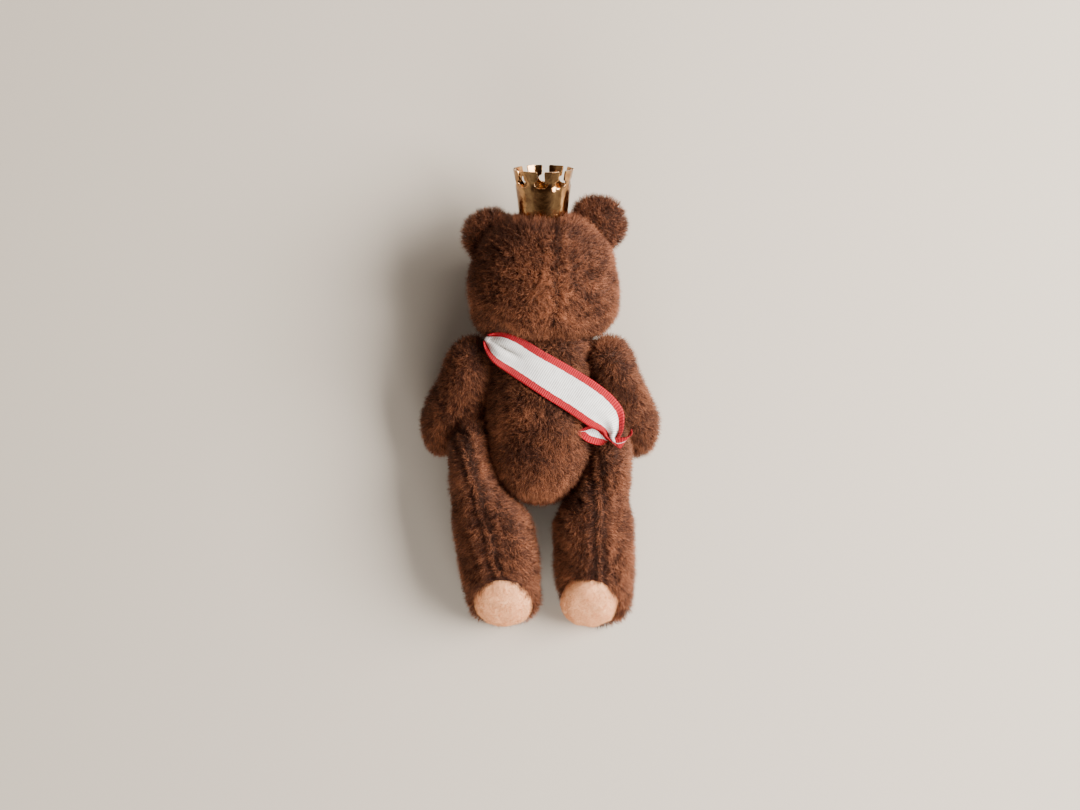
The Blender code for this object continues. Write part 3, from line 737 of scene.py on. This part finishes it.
def head_details(p, n, seed, long, brush, shade):
    """Shorter pile on the snout, bare spots under the face, and the pale ruffle behind the head."""
    local = (p - head_place().origin) @ head_place().axes.T
    snout = inside_globe(p, head_place(), MUZZLE_PLACE, MUZZLE_HALF + 1.0)
    long = long * np.where(snout, SNOUT_PILE, 1.0)
    for spot, bald, clear in FACE_CLEAR:
        far = np.linalg.norm(local - np.array(spot), axis=1)
        long = long * np.clip((far - bald) / clear, 0.12, 1.0)
    far, _ = in_plan(p, HEAD_SEAM)
    tuft = bell(far - 1.2, 0.7) * (n[:, 2] > 0.1) * (p[:, 1] < TUFTS_TO)
    near = [bell(p[:, k] - RUFFLE[k], RUFFLE_HALF[k]) for k in range(2)]
    ruffle = near[0] * near[1] * (n[:, 2] > 0)
    brush = brush + drift(p, 1.5, seed + 90) * (0.9 * ruffle)[:, None]
    return long, brush, shade + tuft + 1.5 * ruffle


def pile(
    name,
    body,
    shapes,
    obstacles,
    materials,
    nap,
    seed,
    seam=None,
    parting=HEAD_PARTING,
    details=None,
    trim=None,
    density=PILE_DENSITY,
    length=PILE_LONG,
):
    """Grow one piece's pile: a seam parts it, and what lies against it presses it short."""
    coat = Coat(seed)
    for grid, normal in shapes:
        coat.grow(grid, normal, density)
    if trim is not None:
        coat.keep(trim(coat.points))
    p, n = coat.points, coat.normals
    room = room_over(p + n * 0.05, n, tree_of(*obstacles), length * 1.2)
    wanted = room > LEAST_ROOM
    coat.keep(wanted)
    p, n, room = p[wanted], n[wanted], room[wanted]
    long = np.minimum(length * (1 + 0.16 * waves(p, 7.0, seed)), room * 0.92)
    pressed = np.linalg.norm(p - RIBBON_PRESS, axis=1) / RIBBON_PRESS_REACH
    long = long * np.clip(pressed, 0.25, 1.0)
    slow, quick = waves(p, 11.0, seed + 20), waves(p, 3.2, seed + 40)
    brush = nap + 0.28 * drift(p, 8.0, seed + 60) + 0.26 * drift(p, 2.2, seed + 80)
    brush -= n * (brush * n).sum(1, keepdims=True)
    shade = 2.3 + 0.55 * slow + 0.75 * quick
    if seam is not None:
        long, brush, shade = parted(p, n, seam, parting, long, brush, shade)
    if details is not None:
        long, brush, shade = details(p, n, seed, long, brush, shade)
    strands(name, coat, long, brush, shade, materials, body)


# ---- felt


def felt_material():
    """Pale peach felt: fine matted fibres, a little uneven in colour."""
    m = Nodes("felt", Roughness=0.95)
    fibre = m.noise(3200.0, 5.0)
    patch = m.noise(300.0, 3.0)
    share = m.maths("ADD", m.maths("MULTIPLY", fibre, 0.6), m.maths("MULTIPLY", patch, 0.4))
    m.colour(m.ramp(share, (0.30, (0.78, 0.33, 0.15)), (0.70, (0.96, 0.53, 0.28))))
    m.bump(fibre, 0.12)
    return m.material


def sole_place(side):
    """A sole's centre, outward and upward ways, and half sizes, in the leg's frame."""
    row = [r for r in spline(leg_rows(side), 400) if r[0] <= FOOT_TO][-1]
    tilt = math.radians(row[5])
    out = np.array((0.0, math.cos(tilt), math.sin(tilt)))
    slope = np.array((0.0, -math.sin(tilt), math.cos(tilt)))
    centre = np.array((row[1] + SOLE_SHIFT[side], row[0], row[3]))
    return centre, out, slope, row[2] - SOLE_EDGE, row[4]


def sole(side, word, felt, fuzz):
    """The felt dome under a foot, with its fuzz."""
    place = leg_place(side)
    centre, out, slope, half, thick = sole_place(side)
    c, s = superellipse(96)
    rings = []
    for t in np.linspace(0.02, 1.0, 26):
        swell = math.sin(t * math.pi / 2)
        lift = 0.2 + SOLE_DOME * math.cos(t * math.pi / 2) ** 0.9
        rings.append((swell * 0.97, lift))
    rings.append((0.96, -0.8))  # the rim, tucked in under the pile
    grid = []
    for swell, lift in rings:
        ring = centre + out * lift + X * (c[:, None] * half * swell) + slope * (s[:, None] * thick * swell)
        grid.append(place.put(ring))
    grid = np.array(grid)
    wobble = waves(grid.reshape(-1, 3), 5.0, 31 + side).reshape(grid.shape[:2])
    grid = grid + place.point(out) * (0.22 * wobble)[..., None]
    body = "leg_" + word
    thing = dress(skin_mesh("sole_felt_" + word, grid, felt), body, "felt", "sole_pad_" + word)
    normal = grid_normals(grid, place.put(centre - out * 8.0))
    coat = Coat(70 + side)
    coat.grow(grid[:-1], normal[:-1], 16.0)
    shade = 2.5 + 0.8 * waves(coat.points, 2.6, 60)
    felt_fuzz("sole_fuzz_" + word, coat, 0.55, 50, shade, fuzz, body)
    return thing


def felt_fuzz(name, coat, length, seed, shade, fuzz, body):
    """The short tangled fuzz of a felt patch."""
    brush = drift(coat.points, 2.0, seed) * 0.8
    strands(name, coat, length, brush, shade, fuzz, body, wide=FUZZ_WIDE, tumble=FUZZ_TUMBLE)


def paw(side, word, skin, felt, fuzz):
    """The felt patch on the front of a paw."""
    place = arm_place(side)
    tree = tree_of(skin)
    front = place.point(np.array((0.0, 0.0, -1.0)))
    grid = []
    for t in np.linspace(0.03, 1.0, 12):
        ring = []
        for k in range(48):
            turn = 2 * math.pi * k / 48
            local = (PALM_HALF[0] * t * math.cos(turn), PALM_HALF[1] * t * math.sin(turn), 0.0)
            start = place.put(PALM_PLACE + local)
            spot, _, _, _ = tree.ray_cast(Vector(start + front * 20.0), Vector(-front))
            lift = 0.45 if t < 0.99 else -0.2
            ring.append(np.array(spot) + front * lift)
        grid.append(ring)
    grid = np.array(grid)
    body = "arm_" + word
    thing = dress(skin_mesh("paw_felt_" + word, grid, felt), body, "felt", "paw_pad_" + word)
    normal = np.broadcast_to(front, grid.shape)
    coat = Coat(90 + side)
    coat.grow(grid[:-1], normal[:-1], 8.0)
    felt_fuzz("paw_fuzz_" + word, coat, 0.45, 55, 2.5, fuzz, body)
    return thing


# ---- crown


CROWN_PLACE = np.array((0.8, 45.1, 23.0))
CROWN_LEAN = math.radians(16.0)
CROWN_BASE = 6.0
CROWN_MOUTH = 7.5
CROWN_BAND = 7.9
CROWN_TALL = 11.9
CROWN_WALL = 0.42
CROWN_SUNK = 1.8  # how far its foot reaches into the pile
CROWN_PRONGS = 8
CROWN_TURN = math.radians(17.5)
CROWN_EDGE = 0.12
PRONG = (  # height over the band, half width as a share of the prong's sector
    (0.0, 1.0),
    (0.07, 0.78),
    (0.25, 0.58),
    (0.55, 0.44),
    (0.9, 0.37),
    (1.2, 0.37),
    (1.42, 0.46),
    (1.58, 0.60),
    (1.8, 0.66),
    (2.6, 0.68),
    (3.7, 0.70),
    (4.0, 0.64),
)


def crown_place():
    """The crown's frame: its Y axis leans back off the head's."""
    turn = turned(CROWN_LEAN, X)
    return Place((X, turn @ Y, turn @ Z), CROWN_PLACE)


def brass_material():
    """Thin stamped brass, a little cloudy and not quite even; its colour is painted darker and browner, as a
    reflection of the pile.
    """
    brass = Nodes("brass", Metallic=1.0)
    cloud = brass.noise(420.0, 4.0)
    grain = brass.noise(2600.0, 5.0)
    # partly painted reflection: the brass is darkened towards the brown of the pile it mirrors
    brass.colour(brass.ramp(cloud, (0.30, (0.24, 0.110, 0.045)), (0.72, (0.55, 0.32, 0.140))))
    brass.rough(brass.maths("MULTIPLY_ADD", grain, 0.12, 0.07))
    brass.bump(cloud, 0.22, 0.7)
    return brass.material


def crown():
    """A stamped brass crown: a flared band, and prongs with narrow waists and broad heads."""
    heights = list(np.linspace(-CROWN_SUNK, CROWN_BAND, 10)[:-1])
    rows = [(h, 1.0) for h in heights] + [(CROWN_BAND + h, share) for h, share in PRONG]
    columns = 13
    sector = 2 * math.pi / CROWN_PRONGS
    place = crown_place()
    points, quads = [], []
    for prong in range(CROWN_PRONGS):
        base = len(points)
        middle = CROWN_TURN + prong * sector
        for height, share in rows:
            up = max(height / CROWN_TALL, 0.0)
            radius = CROWN_BASE + (CROWN_MOUTH - CROWN_BASE) * up**1.3
            bow = 0.25 * math.sin(math.pi * min(up, 1.0) ** 2) * (height > CROWN_BAND)
            for k in range(columns):
                across = 2.0 * k / (columns - 1) - 1.0
                angle = middle + 0.5 * sector * share * across
                out = radius - bow * abs(across)
                points.append(place.put((out * math.sin(angle), height, out * math.cos(angle))))
        for r in range(len(rows) - 1):
            for k in range(columns - 1):
                a = base + r * columns + k
                quads.append((a, a + 1, a + columns + 1, a + columns))
    thing = mesh("crown_brass", points, np.array(quads), materials=(brass_material(),))
    weld = thing.modifiers.new("weld", "WELD")
    weld.merge_threshold = 0.01 * MM
    wall = thing.modifiers.new("wall", "SOLIDIFY")
    wall.thickness = CROWN_WALL * MM
    wall.offset = -1.0
    edge = thing.modifiers.new("edge", "BEVEL")
    edge.width = CROWN_EDGE * MM
    edge.segments = 2
    edge.limit_method = "ANGLE"
    edge.angle_limit = math.radians(50.0)
    return dress(thing, "head", "gold", "crown")


# ---- ribbon


RIBBON_HALF = 5.0
RIBBON_THICK = 0.2
RIBBON_COLUMNS = 25
RIBBON_BORDER = 0.165  # least share of the width
RIBBON_RAGGED = 0.03  # the border's uneven edge adds up to this share
SASH_MIDDLE = np.array((1.2, 4.6, 14.2))
SASH_CROSS = np.array((0.80, -0.60, 0.0))
SASH_WIDTH = np.array((0.60, 0.80, 0.0))


def ribbon_material():
    """White ribbed ribbon with red borders; its uv runs along and across."""
    m = Nodes("ribbon", Roughness=0.6)
    m.shader.inputs["Specular IOR Level"].default_value = 0.25
    where = m.add("UVMap")
    where.uv_map = "run"
    split = m.add("SeparateXYZ", Vector=where.outputs["UV"])
    along, across = split.outputs["X"], split.outputs["Y"]
    edge = m.maths("ABSOLUTE", m.maths("SUBTRACT", across, 0.5))
    ragged = m.maths("MULTIPLY_ADD", m.noise(1500.0, 2.0), RIBBON_RAGGED, edge)
    border = m.maths("GREATER_THAN", ragged, 0.5 - RIBBON_BORDER)
    rib = m.maths("ABSOLUTE", m.maths("SINE", m.maths("MULTIPLY", along, math.pi * 1.9)))
    thread = m.maths("ABSOLUTE", m.maths("SINE", m.maths("MULTIPLY", across, math.pi * 26.0)))
    wear = m.noise(700.0, 4.0)
    # the ribs darken the colour between them, a painted shade in their grooves; the wear noise mottles it
    # too
    tone = m.maths("MULTIPLY_ADD", rib, 0.55, m.maths("MULTIPLY", wear, 0.6))
    white = m.ramp(tone, (0.25, (0.52, 0.47, 0.43)), (0.72, (0.97, 0.95, 0.92)))
    red = m.ramp(tone, (0.35, (0.22, 0.003, 0.007)), (0.8, (0.47, 0.010, 0.020)))
    blend = m.add("Mix")
    blend.data_type = "RGBA"
    for socket, value in ((0, border), (6, white), (7, red)):  # the share and the two colours of a Mix node
        m.set(blend, socket, value)
    m.colour(blend.outputs[2])
    height = m.maths("ADD", m.maths("MULTIPLY", rib, 0.75), m.maths("MULTIPLY", thread, 0.25))
    m.bump(height, 0.16)
    return m.material


def strip(name, top, thick, material):
    """A thin ribbon from rows of points across it, with its own uv: millimetres along, share across."""
    rows, columns = top.shape[:2]
    share = np.linspace(0.0, 1.0, columns)
    normal = unit(np.cross(np.gradient(top, axis=0), np.gradient(top, axis=1)))
    ring = np.concatenate((top, (top - normal * thick)[:, ::-1]), axis=1)
    count = ring.shape[1]
    middle = top[:, columns // 2]
    run = np.concatenate(((0.0,), np.cumsum(np.linalg.norm(np.diff(middle, axis=0), axis=1))))
    caps = []
    for start in (0, (rows - 1) * count):
        for k in range(columns - 1):
            cap = [start + k, start + k + 1, start + count - 2 - k, start + count - 1 - k]
            caps.append(cap if start else cap[::-1])
    quads = np.vstack((grid_faces(rows, count), caps))
    thing = mesh(name, ring.reshape(-1, 3), quads, materials=(material,))
    layer = thing.data.uv_layers.new(name="run")
    wide = np.linalg.norm(np.diff(top, axis=1), axis=2).sum(1, keepdims=True)
    shown = np.minimum(wide / (2 * RIBBON_HALF), 1.0)
    v = np.where(share < 0.5, share * shown, 1.0 - (1.0 - share) * shown)
    uv = np.stack((np.repeat(run, count), np.concatenate((v, v[:, ::-1]), axis=1).ravel()), axis=1)
    index = np.zeros(len(thing.data.loops), np.int32)
    thing.data.loops.foreach_get("vertex_index", index)
    layer.data.foreach_set("uv", uv[index].astype(np.float32).ravel())
    return thing, run[-1]


def flat_row(centre, ahead, half, share, form=None, dip=0.0):
    """A row of the ribbon across its run; with a form, it rests on it where it meets it."""
    across = unit(np.cross(Z, np.array((ahead[0], ahead[1], 0.0))))
    row = centre + across * (share * half)[:, None]
    row[:, 2] -= dip * share**2
    if form is not None:
        for k, place in enumerate(row):
            spot, _, _, _ = form.ray_cast(Vector((place[0], place[1], 60.0)), Vector(-Z))
            if spot is not None:
                row[k, 2] = max(row[k, 2], spot[2])
    return row


SASH_TIP = (  # place, half width and its direction, from the curled tip to the gather at the hip
    ((22.3, -7.4, 23.6), 0.5, (0.25, 0.5, 0.83)),
    ((21.9, -8.9, 23.0), 1.5, (0.35, 0.35, 0.87)),
    ((20.6, -10.2, 22.3), 1.9, (0.15, 0.55, 0.82)),
    ((18.9, -10.5, 22.0), 1.7, (-0.3, 0.75, 0.58)),
)
SASH_BACK = (  # place, half width, and how far its edges hang
    ((17.9, -9.3, 22.4), 1.5, 0.0),
    ((18.0, -7.4, 23.4), 2.6, 0.3),
    ((17.1, -4.9, 24.6), 4.0, 0.6),
    ((14.9, -2.7, 25.6), 4.7, 0.5),
    ((11.3, 0.0, 26.6), 4.9, 0.3),
    ((7.4, 2.5, 27.1), 4.9, 0.2),
    ((2.6, 5.4, 27.4), 4.8, 0.2),
    ((-1.8, 8.1, 27.3), 4.6, 0.3),
    ((-6.0, 10.8, 27.2), 4.5, 0.4),
    ((-9.4, 12.8, 26.8), 4.1, 0.2),
    ((-11.8, 14.3, 25.2), 2.8, 0.2),
    ((-13.3, 15.3, 22.8), 1.0, 0.0),
)
SASH_BELLY = (  # angle round the torso in degrees, shift along the width, half width and lift
    (195.0, 1.0, 1.4, 2.4),
    (215.0, 0.9, 3.0, 1.4),
    (240.0, 1.5, 4.8, 0.2),
    (270.0, 1.6, 5.0, 0.0),
    (300.0, 1.2, 4.4, 0.0),
    (325.0, 1.0, 3.6, 0.0),
    (345.0, 0.4, 2.8, 0.4),
    (365.0, -1.0, 2.2, 2.2),
)
SASH_FLAP = (  # as the tip
    ((16.9, -9.9, 20.6), 1.6, (0.6, 0.7, 0.3)),
    ((14.9, -8.9, 22.2), 2.3, (0.30, 0.95, 0.2)),
    ((12.9, -7.9, 22.9), 2.7, (0.42, 0.90, 0.1)),
    ((11.2, -7.6, 23.1), 1.9, (0.60, 0.80, 0.05)),
    ((9.3, -7.8, 23.2), 0.4, (0.72, 0.69, 0.05)),
)
CREASE_X = -9.4  # a deep crease runs in from the gathered shoulder end
BACK_FROM = 18.0  # the run over the back is higher than this
SASH_RESTS = 4.0  # the sash lies on the plush where its half width is more than this


def sash_form(material):
    """The torso with its pressed pile, as a search tree."""
    grid, _ = loft(BODY_PLACE, TORSO, 84, 84, -1.1)
    grid[..., 2] = np.maximum(grid[..., 2], 0.1)
    thing = skin_mesh("sash_form", grid, material)
    form = tree_of(thing)
    bpy.data.objects.remove(thing)
    return form


def free_rows(table, share):
    """Rows of the ribbon that stand free, each along its own direction."""
    return [np.array(centre) + unit(np.array(way)) * (share * half)[:, None] for centre, half, way in table]


def back_rows(share, form):
    """Rows over the back, which fold up where the ribbon is gathered."""
    ways = np.gradient(np.array([centre for centre, _, _ in SASH_BACK]), axis=0)
    rows = []
    for way, (centre, half, dip) in zip(ways, SASH_BACK):
        row = flat_row(np.array(centre), way, half, -share, form if half > SASH_RESTS else None, dip)
        fold = max(0.0, 1.0 - half / RIBBON_HALF)
        row[:, 2] += 1.6 * fold * np.cos(share * math.pi * 2.0)
        rows.append(row)
    return rows


def belly_rows(share, form):
    """Rows under the belly, pressed between the plush and the table."""
    rows = []
    for angle, shift, half, lift in SASH_BELLY:
        turn = math.radians(angle)
        out = SASH_CROSS * math.cos(turn) + Z * math.sin(turn)
        row = []
        for across in share:
            start = SASH_MIDDLE + SASH_WIDTH * (shift + half * across)
            spot, _, _, _ = form.ray_cast(Vector(start), Vector(out))
            row.append(np.array(spot) + out * lift)
        row = np.array(row)
        row[:, 2] = np.maximum(row[:, 2], 0.3)
        rows.append(row)
    return rows


def sash(material):
    """The sash: over the left shoulder and across the back to the right hip, and round the belly."""
    form = sash_form(material)
    share = np.linspace(-1.0, 1.0, RIBBON_COLUMNS)
    rows = free_rows(SASH_TIP, share) + back_rows(share, form) + belly_rows(share, form)
    controls = np.array(rows + free_rows(SASH_FLAP, share))
    first, last = 2 * controls[:1] - controls[1:2], 2 * controls[-1:] - controls[-2:-1]
    top = smooth_run(np.concatenate((first, controls, last)), 420)
    middle = top[:, RIBBON_COLUMNS // 2]
    crease = bell(middle[:, 0] - CREASE_X, 3.4) * (middle[:, 2] > BACK_FROM)
    top[..., 2] -= 2.6 * crease[:, None] * bell(share - 0.05, 0.17)
    top[..., 2] += 0.7 * crease[:, None] * bell(share + 0.32, 0.25)
    return strip("sash_ribbon", top, RIBBON_THICK, material)


# ---- face


def muzzle_point(across, along, lift, least=0.0):
    """A place over the front of the muzzle, lifted off its surface."""
    spread = max(least, 1 - (across / MUZZLE_HALF[0]) ** 2 - (along / MUZZLE_HALF[1]) ** 2)
    height = -MUZZLE_HALF[2] * math.sqrt(spread) - lift
    return head_place().put(MUZZLE_PLACE + np.array((across, along, height)))


def eyes():
    """Two black glass beads."""
    glass = Nodes("eye_glass", (0.012, 0.007, 0.005), Roughness=0.06, Coat_Weight=0.6)
    for side, word in SIDES:
        grid, _ = globe(head_place(), EYE_PLACE * (side, 1, 1), np.full(3, EYE_RADIUS), 24, 32)
        dress(skin_mesh("eye_bead_" + word, grid, glass.material), "head", "bead", "eye_" + word)


def nose(thread):
    """A satin-stitched nose: threads side by side, each a little bowed."""
    parts = []
    for t in np.linspace(-1.0, 1.0, 17):
        reach = NOSE_TALL * math.sqrt(1 - 0.75 * t * t)
        path = []
        for step in np.linspace(-1.0, 1.0, 7):
            lift = FACE_LIFT * (1 - step**2)
            path.append(muzzle_point(NOSE_HALF * t, NOSE_LEVEL + reach * step, lift, 0.02))
        parts.append(tube(path, 0.19, 6, 0.5))
    dress(mesh("nose_stitches", *joined(parts), materials=(thread,)), "head", "thread", "nose")


def mouth(thread):
    """A thread stitched in a shallow V."""
    path = []
    for t in np.linspace(-1.0, 1.0, 21):
        along = MOUTH_LEVEL - MOUTH_DROOP * math.cos(math.pi * t)
        path.append(muzzle_point(MOUTH_HALF * t, along, FACE_LIFT))
    path = np.array(path)
    path[:, 2] = np.maximum(path[:, 2], 0.25)
    thing = mesh("mouth_thread", *tube(path, 0.2, 6, 0.4), materials=(thread,))
    dress(thing, "head", "thread", "mouth")


# ---- the scene


FLOOR_HALF = 1500.0
CAMERA_OVER = (0.0, -0.0012, 0.400)  # metres
CAMERA_LENS = 50.98


def area_light(name, place, energy, colour, size, size_y=None):
    """An area light that looks at the bear."""
    data = bpy.data.lights.new(name, "AREA")
    data.size = size
    if size_y is not None:
        data.shape = "RECTANGLE"
        data.size_y = size_y
    data.energy = energy
    data.color = colour
    lamp = bpy.data.objects.new(name, data)
    lamp.location = place
    lamp.rotation_euler = (-Vector(place)).to_track_quat("-Z", "Y").to_euler()
    bpy.context.scene.collection.objects.link(lamp)
    return lamp


def room_tone():
    """A pale room all round, which is dark straight above, where the viewer leans over the bear."""
    world = bpy.data.worlds.new("room_tone")
    world.use_nodes = True
    tree = world.node_tree
    background = tree.nodes["Background"]
    way = tree.nodes.new("ShaderNodeTexCoord")
    split = tree.nodes.new("ShaderNodeSeparateXYZ")
    shade = tree.nodes.new("ShaderNodeValToRGB")
    tree.links.new(way.outputs["Generated"], split.inputs[0])
    tree.links.new(split.outputs["Z"], shade.inputs["Fac"])
    tree.links.new(shade.outputs["Color"], background.inputs["Color"])
    stops = (
        (0.0, (1.0, 0.96, 0.91)),
        (0.50, (0.95, 0.91, 0.86)),
        (0.80, (0.16, 0.11, 0.08)),
        (1.0, (0.08, 0.05, 0.035)),
    )
    for k, (spot, colour) in enumerate(stops):
        stop = shade.color_ramp.elements[k] if k < 2 else shade.color_ramp.elements.new(spot)
        stop.position = spot
        stop.color = (*colour, 1.0)
    background.inputs["Strength"].default_value = 0.50
    bpy.context.scene.world = world


def studio():
    """A pale floor, a soft light from the right, a weak one beyond the feet, and the camera above."""
    finish = Nodes("floor", (0.58, 0.51, 0.43), Roughness=0.9)
    corners = FLOOR_HALF * np.array(((-1, -1, 0), (1, -1, 0), (1, 1, 0), (-1, 1, 0)))
    floor = mesh("floor", corners, np.array(((0, 1, 2, 3),)), materials=(finish.material,), smooth=False)
    key = area_light(
        "window_side",
        place=(0.52, 0.08, 0.42),
        energy=18.0,
        colour=(1.0, 0.965, 0.92),
        size=0.5,
        size_y=0.4,
    )
    room_tone()
    lens = bpy.data.cameras.new("camera")
    lens.sensor_width = 36.0
    lens.lens = CAMERA_LENS
    camera = bpy.data.objects.new("camera", lens)
    camera.location = CAMERA_OVER
    bpy.context.scene.collection.objects.link(camera)
    bpy.context.scene.camera = camera
    fill = area_light("foot_side", place=(0.05, -0.60, 0.28), energy=5.0, colour=(1.0, 0.97, 0.93), size=0.5)
    fill.visible_glossy = False


def skins(grids, backing):
    """The woven skin under the pile of every stuffed piece."""
    made = {}
    for key in ("torso", "head"):
        skin = skin_mesh(key + "_plush", grids[key][0], backing)
        made[key] = dress(skin, key, "plush", key + "_skin")
    dress(skin_mesh("muzzle_plush", grids["muzzle"][0], backing), "head", "plush")
    for side, word in SIDES:
        ear = skin_mesh("ear_plush_" + word, grids["ear", side][0], backing)
        made["ear", side] = dress(ear, "head", "plush", "ear_" + word)
        for limb in ("arm", "leg"):
            skin = skin_mesh("%s_plush_%s" % (limb, word), grids[limb, side][0], backing)
            made[limb, side] = dress(skin, "%s_%s" % (limb, word), "plush", "%s_skin_%s" % (limb, word))
    return made


def ribbon_sash():
    """The sash, on the torso in place of the CAD sash."""
    ribbon, length = sash(ribbon_material())
    dress(ribbon, "torso", "ribbon", "sash")
    return ribbon


TRIM_SKIN = 0.1  # roots this near the skull's skin are on it, not inside it
TRIM_MUZZLE = 0.05
BARE_SHARE = 0.96  # no pile grows within this share of the sole's half sizes
BARE_BEHIND = 1.6  # from this far behind the sole's centre outward


def head_trim(head):
    """Which roots of the head's pile are kept: none inside the skull or the snout, or under the crown."""
    skull = tree_of(head)

    def kept(points):
        off = (points - CROWN_PLACE) @ crown_place().axes.T
        under = (np.hypot(off[:, 0], off[:, 2]) < CROWN_BASE - 1.0) & (np.abs(off[:, 1]) < 3.0)
        buried = inside_tree(points, skull) & (distance_to(points, skull) >= TRIM_SKIN)
        snout = inside_globe(points, head_place(), MUZZLE_PLACE, MUZZLE_HALF - SKIN_INSET - TRIM_MUZZLE)
        return ~snout & ~buried & ~under

    return kept


def ear_trim(head):
    """Which roots of an ear's pile are kept: those outside the skull."""
    skull = tree_of(head)
    return lambda points: ~inside_tree(points, skull)


def leg_trim(side):
    """Which roots of a leg's pile are kept: those that the felt sole leaves free."""
    place = leg_place(side)
    centre, out, slope, half, thick = sole_place(side)

    def kept(points):
        local = (points - place.origin) @ place.axes.T - centre
        across, along = local[:, 0] / (half * BARE_SHARE), local @ slope / (thick * BARE_SHARE)
        return ~((across**2 + along**2 < 1.0) & (local @ out > -BARE_BEHIND))

    return kept


def build():
    """Every piece of the bear."""
    backing = plush_skin()
    brown = pile_materials("pile", PILE_DARK, PILE_LIGHT_AND_GLINT)
    peach = pile_materials("fuzz", FUZZ_DARK, FUZZ_LIGHT)
    felt = felt_material()
    thread = Nodes("stitch_thread", (0.018, 0.012, 0.010), Roughness=0.5).material
    grids = {"torso": torso_shape(), "head": head_shape(), "muzzle": muzzle_shape()}
    for side, _ in SIDES:
        grids["ear", side] = ear_shape(side)
        grids["arm", side] = arm_shape(side)
        grids["leg", side] = leg_shape(side)
    skin = skins(grids, backing)
    torso, head = skin["torso"], skin["head"]
    arms, legs = ({side: skin[limb, side] for side, _ in SIDES} for limb in ("arm", "leg"))
    ribbon = ribbon_sash()
    gold = crown()
    eyes()
    nose(thread)
    mouth(thread)
    soles = {side: sole(side, word, felt, peach) for side, word in SIDES}
    paws = {side: paw(side, word, arms[side], felt, peach) for side, word in SIDES}

    down = np.array((0.0, -0.35, 0.0))
    obstacles = [head, ribbon, *arms.values(), *legs.values()]
    pile("torso_pile", "torso", (grids["torso"],), obstacles, brown, down, 3)
    pile(
        "head_pile",
        "head",
        (grids["head"], grids["muzzle"]),
        [torso, gold, ribbon, *arms.values()],
        brown,
        down * 0.5,
        5,
        seam=HEAD_SEAM,
        details=head_details,
        trim=head_trim(head),
    )
    for side, word in SIDES:
        pile(
            "ear_pile_" + word,
            "head",
            (grids["ear", side],),
            [gold],
            brown,
            np.zeros(3),
            11 + side,
            trim=ear_trim(head),
            density=EAR_DENSITY,
            length=EAR_LONG,
        )
        obstacles = [torso, head, ribbon, legs[side], paws[side]]
        pile("arm_pile_" + word, "arm_" + word, (grids["arm", side],), obstacles, brown, down, 21 + side)
        pile(
            "leg_pile_" + word,
            "leg_" + word,
            (grids["leg", side],),
            [torso, arms[side], legs[-side], soles[side]],
            brown,
            down * 0.8,
            31 + side,
            seam=LEG_SEAMS[side],
            parting=LEG_PARTING,
            trim=leg_trim(side),
        )


build()
studio()
